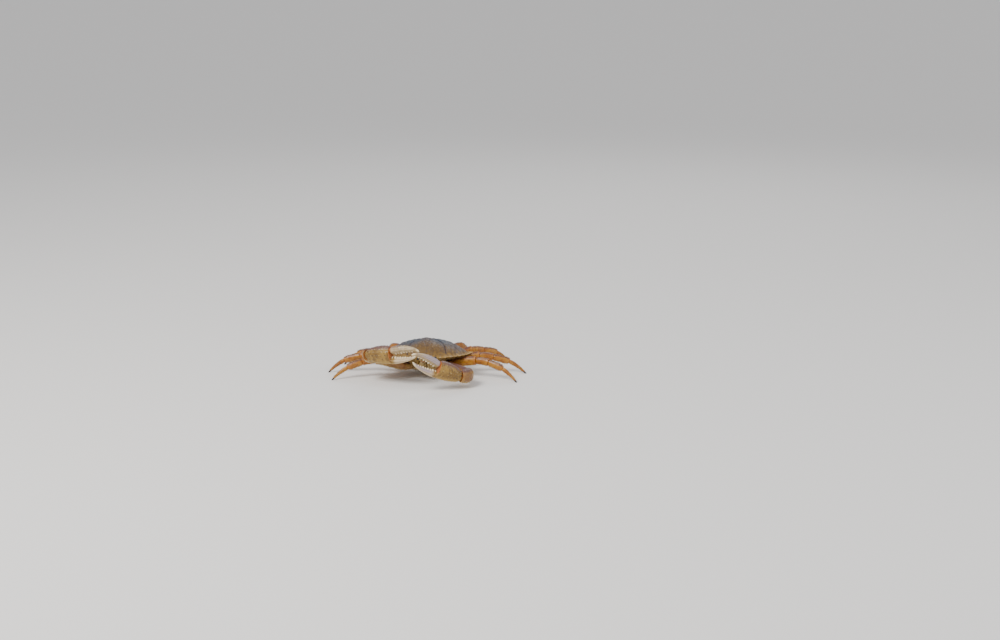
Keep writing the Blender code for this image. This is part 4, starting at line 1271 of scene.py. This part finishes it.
# Size of each plate but the claw at its root and at its end, as shares, and how far it arches upward
LEG_FORMS = ((0.86, 0.84, 0.0), (0.66, 0.9, 1.3), (0.66, 0.97, 0.9), (0.76, 0.76, 0.6))
# The tip of a claw, how fast it tapers to that, and how far it arches upward
TIP_HALF_HEIGHT = 1.0
TIP_HALF_THICKNESS = 0.9
TIP_TAPER = 1.3
CLAW_ARCH = 1.6
# Shares of the length and sizes of the neck of each claw
CLAW_NECK = ((-0.07, -0.065, -0.03, 0.0, 0.02), (0.12, 0.5, 0.6, 0.66, 0.74))
# Heading of each leg, and the pitch of its base, thigh, knee and claw, in degrees
LEG_STANCES = {
    1: ((21, 4, 12, -4, -38), (2, 4, 13, -6, -36), (-23, 5, 18, -8, -41), (-47, 7, 26, -4, -46)),
    -1: ((6, 4, 12, -6, -36), (-9, 4, 13, -4, -38), (-27, 5, 18, -9, -39), (-51, 7, 26, -6, -44)),
}
# How much further a leg has turned by its knee, shank and claw, in degrees
LATER_HEADING = (0, 4, 9)
# Lengthwise ridges of each plate: angle round the plate in degrees, half width in degrees, and height
LEG_RIDGES = {
    "base": ((90, 14, 0.3),),
    "merus": ((90, 9, 0.9), (232, 9, 0.45), (308, 9, 0.45)),
    "carpus": ((58, 9, 0.6), (122, 9, 0.6), (0, 10, 0.35), (180, 10, 0.35)),
    "propodus": ((66, 8, 0.5), (114, 8, 0.5), (24, 9, 0.35), (156, 9, 0.35), (270, 10, 0.35)),
    "dactyl": ((90, 9, 0.5), (35, 9, 0.4), (145, 9, 0.4), (215, 9, 0.4), (325, 9, 0.4), (270, 9, 0.5)),
}
leg_finish = shell_material(
    "leg_shell",
    colours=((0.36, 0.12, 0.009), (0.50, 0.22, 0.022), (0.15, 0.048, 0.015)),
    scales=(58, 300, 0.585),
    washes=(
        ("top", (0.105, 0.034, 0.026), 0.45, 1.15, 1.1),
        ("low", (0.52, 0.27, 0.055), 0.35, 1.2, 0.6),
        ("ridge", (0.58, 0.26, 0.045), 0.3, 1.4, 0.6),
        ("end", (0.44, 0.15, 0.018), 0.4, 1.2, 0.8),
        ("joint", (0.48, 0.21, 0.07), 0.4, 0.6, 0.0),
        ("tip", (0.03, 0.015, 0.01), 0.35, 0.75, 0.3),
    ),
    gloss=(0.3, 0.48),
    beads=(900, 0.12, 0.05),
    coat=0.2,
)
legs = {}
for sign, side_name in SIDES:
    for number, stance in enumerate(LEG_STANCES[sign]):
        ahead, base_pitch, thigh_pitch, knee_pitch, claw_pitch = stance
        sizes = [row[number] for row in (LEG_BASES, LEG_THIGHS, LEG_KNEES, LEG_SHANKS, LEG_CLAWS)]
        joint, away = hip(sign, HIP_ANGLES[number])
        pitches = [base_pitch, thigh_pitch, knee_pitch, 0, claw_pitch]
        # The shank is pitched so that the claw's tip comes down to the floor
        climbs = [math.sin(math.radians(pitch)) for pitch in pitches]
        fall = joint[2] + sum(row[0] * climb for row, climb in zip(sizes, climbs, strict=True))
        pitches[3] = -math.degrees(math.asin(fall / sizes[3][0]))
        turns = (0, 0, *(later * (-1 if number == 3 else 1) for later in LATER_HEADING))
        ways = [direction(sign, ahead + turned, pitch) for turned, pitch in zip(turns, pitches, strict=True)]
        planes = [away, *(halving(ways[step], ways[step + 1]) for step in range(4)), np.array([0, 0, -1.0])]
        for step, part in enumerate(LEG_PARTS):
            length, high, thick = sizes[step]
            is_claw = part == "dactyl"
            if is_claw:
                share = np.concatenate([CLAW_NECK[0], np.linspace(0.04, 1, 105)])[:, None]
                size = np.concatenate([CLAW_NECK[1], 1 - 0.2 * np.exp(-np.arange(105) / 6)])[:, None]
                taper = np.clip(share, 0, 1) ** TIP_TAPER
                tall = (high + (TIP_HALF_HEIGHT - high) * taper) * size
                slim = (thick + (TIP_HALF_THICKNESS - thick) * taper) * size
                arch = CLAW_ARCH * np.sin(math.pi * np.clip(share, 0, 1))
                place = np.linspace(0, 0.89, len(share))[:, None]
                place = np.where(share < 0, 0, np.maximum(place, 0.2))
            else:
                root, end, bow = LEG_FORMS[step]
                place, share, size = plate_rows(root, end, 90)
                tall, slim, arch = high * size, thick * size, bow * np.sin(math.pi * np.clip(share, 0, 1))
            bounds = planes[step : step + 2]
            grid, angle = limb(joint, ways[step], length, bounds, share, tall, slim, arch, 64)
            # Saw-edged ridges along the plate, and a knob each side of its end to hold the next one
            middle = ramp(share, 0.03, 0.14) * (1 - ramp(share, 0.86, 0.97))
            saw = 0.45 + 0.55 * lumps(grid, 3.5, 62)
            ridge = np.zeros(grid.shape[:2])
            relief = np.zeros(grid.shape[:2])
            for ridge_angle, width, height in LEG_RIDGES[part]:
                line = bell(angle_gap(angle, ridge_angle), width) * saw * middle
                ridge, relief = np.maximum(ridge, line), np.maximum(relief, height * line)
            knobs = bell(angle_gap(angle, 0), 16) + bell(angle_gap(angle, 180), 16)
            knobs = bell(share - 0.95, 0.03) * (0.5 * knobs + 0.1)
            if is_claw:
                knobs = 0
                relief = relief * (1 - 0.7 * taper)
            relief = relief - 0.22 * middle + knobs + 0.08 * ripple(grid, 4, 61 + number)
            grid = push(grid, relief * (1 - ramp(share, 0.95, 1) * is_claw))
            legs[sign, number, part] = grid
            traits = {
                "top": [ramp(np.sin(angle), 0.0, 1) * (1 - 0.5 * is_claw) + 0 * share],
                "low": [ramp(-np.sin(angle), 0.1, 1) + 0 * share],
                "ridge": [ridge],
                "end": [ramp(share, 0.82, 1) * (not is_claw) + 0 * angle],
                "joint": [joint_trait(place)],
                "tip": [ramp(share, 0.74, 0.9) * is_claw + 0 * angle],
            }
            node = f"leg_{side_name}_{number + 1}_{part}"
            plate = make_piece(f"{node}_shell", [grid], traits, leg_finish)
            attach(plate, "root")
            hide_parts(node)
            joint = joint + ways[step] * length


# The bristles: stiff golden-brown hairs that grow in small tufts along the edges of the legs and claw
# arms, in a dense felt over the cheeks beside the mouth, and as fringes round the mouth's doors and the
# breastplate.  Each is a thin curved spike of solid mesh rooted in the plate under it.
# A tuft's hairs, a hair's sides, its rings (place along it, share of its thickness), and its map patch
HAIRS_PER_TUFT = 5
HAIR_SIDES = 3
HAIR_RINGS = ((0.0, 1.0), (0.45, 0.8), (0.8, 0.45))
TUFT_PATCH = 0.003
# How hairs of one tuft differ: root place, direction, bend, and the range of their lengths
ROOT_SCATTER = 0.35
WAY_SCATTER = 0.3
BEND_SCATTER = 0.15
LENGTH_RANGE = (0.55, 1.15)
ROOT_DEPTH = 0.25


def sow(grid, weight, count, draw):
    """Places on a grid drawn by weight: points, outward directions, directions along it, and (row, turn).

    Each place is a grid point moved by a random part of the step to the next row and of the step to
    the next point in its ring.
    """
    rows, rounds = grid.shape[:2]
    weight = np.broadcast_to(weight, (rows, rounds)).copy()
    weight[-1] = 0
    chosen = draw.choice(rows * rounds, count, p=weight.ravel() / weight.sum())
    row, turn = chosen // rounds, chosen % rounds
    shift, slide = draw.uniform(0, 1, (2, count, 1))
    here = grid[row, turn]
    step = grid[row + 1, turn] - here
    points = here + shift * step + slide * (grid[row, (turn + 1) % rounds] - here)
    step /= np.linalg.norm(step, axis=1, keepdims=True)
    places = np.stack([(row + shift[:, 0]) / rows, (turn + slide[:, 0]) / rounds], -1)
    return points, outward(grid)[row, turn], step, places


def make_bristles(name, sowings, material, draw):
    """Thin curved three-sided spikes, a few to each tuft, joined in one mesh.

    A sowing is (points, directions, bends, atlas places, length, thickness).  A hair's middle line is
    root + direction * length * t + bend * length * t^2, and its rings shrink towards a tip at t = 1.
    Each tuft's patch of the OFBake map lies at the place of its root on the unwrapped plate.
    """
    parts = [[np.repeat(column, HAIRS_PER_TUFT, 0) for column in sowing[:4]] for sowing in sowings]
    sizes = [np.full((len(part[0]), 2), sowing[4:]) for part, sowing in zip(parts, sowings, strict=True)]
    points, ways, bends, places = (np.concatenate(column) for column in zip(*parts, strict=True))
    length, thickness = np.concatenate(sizes).T[..., None]
    count = len(points)
    points = points + ROOT_SCATTER * draw.normal(size=(count, 3)) * length / 3 - ROOT_DEPTH * ways
    ways = ways + WAY_SCATTER * draw.normal(size=(count, 3))
    ways /= np.linalg.norm(ways, axis=1, keepdims=True)
    bends = bends + BEND_SCATTER * draw.normal(size=(count, 3))
    length = length * draw.uniform(*LENGTH_RANGE, (count, 1))
    first = np.cross(ways, (0.31, 0.22, 0.92))
    first /= np.linalg.norm(first, axis=1, keepdims=True)
    second = np.cross(ways, first)
    angle = TAU * np.arange(HAIR_SIDES) / HAIR_SIDES
    spoke = np.cos(angle)[:, None] * first[:, None] + np.sin(angle)[:, None] * second[:, None]
    rings = []
    for t, size in HAIR_RINGS:
        middle = points + length * (ways * t + bends * t**2)
        rings.append(middle[:, None] + 0.5 * size * thickness[:, None] * spoke)
    tip = (points + length * (ways + bends))[:, None]
    corners = np.concatenate([*rings, tip], 1)
    per_hair = corners.shape[1]
    low = np.arange(HAIR_SIDES)
    after = (low + 1) % HAIR_SIDES
    pattern = [[(2, 1, 0)]]
    for ring in range(len(HAIR_RINGS) - 1):
        up = HAIR_SIDES * ring
        pattern.append(np.stack([up + low, up + after, up + after + HAIR_SIDES], -1))
        pattern.append(np.stack([up + low, up + after + HAIR_SIDES, up + low + HAIR_SIDES], -1))
    up = HAIR_SIDES * (len(HAIR_RINGS) - 1)
    pattern.append(np.stack([up + low, up + after, 0 * low + per_hair - 1], -1))
    pattern = np.vstack(pattern)
    faces = (np.arange(count)[:, None, None] * per_hair + pattern).reshape(-1, 3)
    mesh = bpy.data.meshes.new(name)
    mesh.from_pydata((corners.reshape(-1, 3) * MM).tolist(), [], faces.tolist())
    mesh.shade_smooth()
    offsets = draw.uniform(-0.5, 0.5, (count, per_hair, 2)) * TUFT_PATCH
    patch = np.clip(places[:, None] + offsets, 0, 1).reshape(-1, 2)
    unwrap = mesh.uv_layers.new(name="OFBake")
    unwrap.data.foreach_set("uv", patch[faces.ravel()].ravel())
    shade = mesh.attributes.new("shade", "FLOAT", "POINT")
    tone = np.repeat(draw.uniform(0, 1, count // HAIRS_PER_TUFT), HAIRS_PER_TUFT * per_hair)
    shade.data.foreach_set("value", tone.astype(np.float32))
    mesh.materials.append(material)
    piece = bpy.data.objects.new(name, mesh)
    bpy.context.scene.collection.objects.link(piece)
    return piece


def atlas(places, column, columns, row, rows):
    """Places on a plate, from 0 to 1 both ways, moved into its own cell of the unwrap."""
    return (places * 0.94 + 0.03 + np.array([column, row])) / np.array([columns, rows])


bristle_finish = shell_material(
    "bristle",
    colours=((0.36, 0.22, 0.07), (0.46, 0.30, 0.11), (0.20, 0.10, 0.035)),
    scales=(160, 500, 0.6),
    washes=(("shade", (0.15, 0.08, 0.028), 0.3, 1.1, 0.2),),
    gloss=(0.4, 0.6),
    beads=(2400, 0.01, 0.005),
    coat=0.05,
)
# Where bristles grow on each leg plate: tufts, length, and the angles of their rows in degrees
LEG_BRISTLES = {
    "merus": (46, 1.9, (232, 308)),
    "carpus": (16, 1.6, (235, 305)),
    "propodus": (70, 2.2, (70, 110, 250, 290)),
    "dactyl": (95, 1.7, (62, 118, 180, 0, 242, 298)),
}
LEG_HAIR = 0.2
for sign, side_name in SIDES:
    draw = np.random.default_rng(81 + sign)
    sowings = []
    for number in range(4):
        for cell, (part, (tufts, long, angles)) in enumerate(LEG_BRISTLES.items()):
            grid = legs[sign, number, part]
            share = np.linspace(0, 1, len(grid))[:, None]
            angle = np.linspace(0, TAU, grid.shape[1], endpoint=False)[None, :]
            weight = np.max([bell(angle_gap(angle, row), 9) for row in angles], 0)
            weight = weight * ramp(share, 0.12, 0.2) * (1 - ramp(share, 0.78, 0.84)) + 1e-6
            points, out, along, places = sow(grid, weight, tufts, draw)
            ways = 0.75 * out + 0.65 * along
            places = atlas(places, cell, len(LEG_BRISTLES), number, 4)
            sowings.append((points, ways, 0.25 * along - 0.1 * out, places, long, LEG_HAIR))
    fringe = make_bristles(f"leg_bristles_{side_name}", sowings, bristle_finish, draw)
    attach(fringe, "root")

CHEEK_TUFTS = 680
BRIM_TUFTS = 240
CHEEK_LENGTH = 2.4
BRIM_LENGTH = 2.0
CHEEK_HAIR = 0.2
DOWN = np.array([0, 0, -1.0])
for sign, side_name in SIDES:
    draw = np.random.default_rng(91 + sign)
    offset = sign * (shell_under[..., 0] - MIDLINE)
    ahead = np.cos(turn) > -0.05
    steep = (ramp(offset, 15, 20) + 0.3 * bell(offset - 9, 5)) * (1 - ramp(offset, 44, 60)) * ahead
    brim = ramp(offset, 20, 26) * ahead * bell(under_reach - 0.93, 0.03)
    sowings = []
    felts = ((steep * (under_reach < 0.93), CHEEK_TUFTS, CHEEK_LENGTH), (brim, BRIM_TUFTS, BRIM_LENGTH))
    for weight, tufts, long in felts:
        points, out, inward, places = sow(shell_under, weight + 1e-9 * (offset > 18), tufts, draw)
        facing = np.sign((out * (points - stand(0, 0, 0))).sum(-1, keepdims=True))
        ways = 0.55 * out * facing + 0.25 * inward + 0.55 * DOWN
        sowings.append((points, ways, 0 * points + 0.3 * DOWN, places, long, CHEEK_HAIR))
    felt = make_bristles(f"cheek_bristles_{side_name}", sowings, bristle_finish, draw)
    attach(felt, "root")

DOOR_TUFTS = 70
DOOR_LENGTH = 2.0
DOOR_HAIR = 0.16
for sign, side_name in SIDES:
    draw = np.random.default_rng(101 + sign)
    share = np.linspace(0, 1, len(leaves[sign]))[:, None]
    angle = np.linspace(0, TAU, leaves[sign].shape[1], endpoint=False)[None, :]
    inner = np.maximum(bell(angle_gap(angle, 180), 14), 0.6 * bell(angle_gap(angle, 0), 14))
    points, out, along, places = sow(leaves[sign], inner * ramp(share, 0.04, 0.1), DOOR_TUFTS, draw)
    ways = 0.5 * out + 0.5 * np.array([0, -1.0, 0]) + 0.3 * along
    beard = make_bristles(
        f"mouth_bristles_{side_name}",
        [(points, ways, 0.3 * along, places, DOOR_LENGTH, DOOR_HAIR)],
        bristle_finish,
        draw,
    )
    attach(beard, "root")

# Where bristles grow on each arm plate: tufts, length, and the angles of their rows in degrees
ARM_BRISTLES = {
    "base": (30, 2.0, (215, 270, 325)),
    "merus": (120, 2.2, (215, 325, 270)),
    "carpus": (50, 1.8, (215, 325, 250, 290)),
}
for sign, side_name in SIDES:
    draw = np.random.default_rng(111 + sign)
    sowings = []
    for cell, (part, (tufts, long, angles)) in enumerate(ARM_BRISTLES.items()):
        grid = arm_plates[sign, part]
        share = np.linspace(0, 1, len(grid))[:, None]
        angle = np.linspace(0, TAU, grid.shape[1], endpoint=False)[None, :]
        weight = np.max([bell(angle_gap(angle, row), 10) for row in angles], 0)
        weight = weight * ramp(share, 0.14, 0.22) * (1 - ramp(share, 0.76, 0.84)) + 1e-6
        points, out, along, places = sow(grid, weight, tufts, draw)
        places = atlas(places, cell, len(ARM_BRISTLES), 0, 1)
        sowings.append((points, 0.8 * out + 0.5 * along, 0.25 * along, places, long, LEG_HAIR))
    fringe = make_bristles(f"arm_bristles_{side_name}", sowings, bristle_finish, draw)
    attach(fringe, "root")

BREAST_TUFTS = 260
BREAST_LENGTH = 2.0
draw = np.random.default_rng(121)
share = np.linspace(0, 1, len(breast_grid))[:, None]
angle = np.linspace(0, TAU, breast_grid.shape[1], endpoint=False)[None, :]
weight = bell(share - 0.5, 0.05) * (0.15 + 0.85 * bell(angle_gap(angle, 90), 45))
points, out, along, places = sow(breast_grid, weight, BREAST_TUFTS, draw)
fringe = make_bristles(
    "breast_bristles",
    [(points, 0.8 * out + 0.4 * along, 0.2 * along, places, BREAST_LENGTH, CHEEK_HAIR)],
    bristle_finish,
    draw,
)
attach(fringe, "root")


# The floor and the backdrop, one pale round sheet of matt paper that lies flat under the crab and
# rises all round, far away, in a wide gentle curve, so that no edge shows from any side.
# Sizes in metres: the flat part, and the bend beyond it
PAPER_COLOUR = (0.8, 0.79, 0.775, 1)
PAPER_ROUGHNESS = 0.85
FLAT_RADIUS = 4
SWEEP_RADIUS = 9
SWEEP_TURN = math.radians(60)
SWEEP_STEPS = 16
SHEET_ROUNDS = 96
bend = np.linspace(0, SWEEP_TURN, SWEEP_STEPS)[:, None]
flat_rings = np.array([[0.5], [2.0]])
sheet_radius = np.vstack([flat_rings, FLAT_RADIUS + SWEEP_RADIUS * np.sin(bend)])
sheet_height = np.vstack([0 * flat_rings, SWEEP_RADIUS * (1 - np.cos(bend))])
sheet_turn = np.linspace(0, TAU, SHEET_ROUNDS, endpoint=False)[None, :]
level = (sheet_radius * np.cos(sheet_turn), sheet_radius * np.sin(sheet_turn))
sheet_grid = (*level, sheet_height + 0 * sheet_turn)
sheet_points = np.vstack([np.stack(sheet_grid, -1).reshape(-1, 3), [[0, 0, 0]]])
index = np.arange(len(sheet_points) - 1).reshape(-1, SHEET_ROUNDS)
after = np.roll(index, -1, 1)
sheet_faces = np.stack([index[:-1], index[1:], after[1:], after[:-1]], -1).reshape(-1, 4).tolist()
middle = np.full(SHEET_ROUNDS, len(sheet_points) - 1)
sheet_faces += np.stack([middle, index[0], after[0]], -1).tolist()
sheet_mesh = bpy.data.meshes.new("paper_floor")
sheet_mesh.from_pydata(sheet_points.tolist(), [], sheet_faces)
sheet_mesh.shade_smooth()
paper = bpy.data.materials.new("matt_paper")
paper.use_nodes = True
paper.node_tree.nodes["Principled BSDF"].inputs["Base Color"].default_value = PAPER_COLOUR
paper.node_tree.nodes["Principled BSDF"].inputs["Roughness"].default_value = PAPER_ROUGHNESS
sheet_mesh.materials.append(paper)
floor = bpy.data.objects.new("paper_floor", sheet_mesh)
bpy.context.scene.collection.objects.link(floor)


# The studio light: a broad soft key from high on the left, a weaker fill from the right, a wide
# panel from behind that draws the edges, and an even pale sky.
# Each lamp: its name, place and size in metres, power in watts, and colour
LIGHTS = (
    ("key", (-1.5, -1.6, 2.4), 1.3, 98, (1.0, 0.97, 0.93)),
    ("fill", (2.1, -1.3, 1.3), 1.6, 15, (0.93, 0.96, 1.0)),
    ("back", (0.9, 2.2, 2.2), 1.6, 13, (1.0, 0.99, 0.97)),
)
SKY_COLOUR = (0.97, 0.975, 1.0, 1)
SKY_STRENGTH = 0.74
for name, place, size, power, colour in LIGHTS:
    light = bpy.data.lights.new(name, "AREA")
    light.shape = "DISK"
    light.size = size
    light.energy = power
    light.color = colour
    lamp = bpy.data.objects.new(name, light)
    lamp.location = place
    lamp.rotation_mode = "QUATERNION"
    lamp.rotation_quaternion = (-lamp.location).to_track_quat("-Z", "Y")
    bpy.context.scene.collection.objects.link(lamp)
sky = bpy.data.worlds.new("pale_sky")
sky.use_nodes = True
sky.node_tree.nodes["Background"].inputs["Color"].default_value = SKY_COLOUR
sky.node_tree.nodes["Background"].inputs["Strength"].default_value = SKY_STRENGTH
bpy.context.scene.world = sky


# The camera, 2.6 m away and 16 degrees above the crab as in the photograph, turned so that the floor
# under the middle of the carapace falls on its pixel of the 1000 by 640 frame.
CAMERA_DISTANCE = 2.6
CAMERA_ELEVATION = math.radians(16)
FRAME_WIDTH = 1000
FRAME_HEIGHT = 640
FOCAL_PIXELS = 1405
AIM_PIXEL = (424, 373.5)
SENSOR_WIDTH = 36
CLIP = (0.05, 30)
aim = np.array([MIDLINE, BODY_PLACE - MIDDLE * math.cos(NOSE_UP), 0]) * MM
back = np.array([0, -math.cos(CAMERA_ELEVATION), math.sin(CAMERA_ELEVATION)])
right_share = (AIM_PIXEL[0] - FRAME_WIDTH / 2) / FOCAL_PIXELS
up_share = (FRAME_HEIGHT / 2 - AIM_PIXEL[1]) / FOCAL_PIXELS
view = bpy.data.cameras.new("camera")
view.sensor_width = SENSOR_WIDTH
view.lens = FOCAL_PIXELS * SENSOR_WIDTH / FRAME_WIDTH
view.clip_start, view.clip_end = CLIP
camera = bpy.data.objects.new("camera", view)
camera.location = aim + back * CAMERA_DISTANCE
yaw = math.atan(right_share)
pitch = -CAMERA_ELEVATION - math.atan(up_share * math.cos(yaw))
camera.rotation_euler = (math.pi / 2 + pitch, 0, yaw)
bpy.context.scene.collection.objects.link(camera)
bpy.context.scene.camera = camera
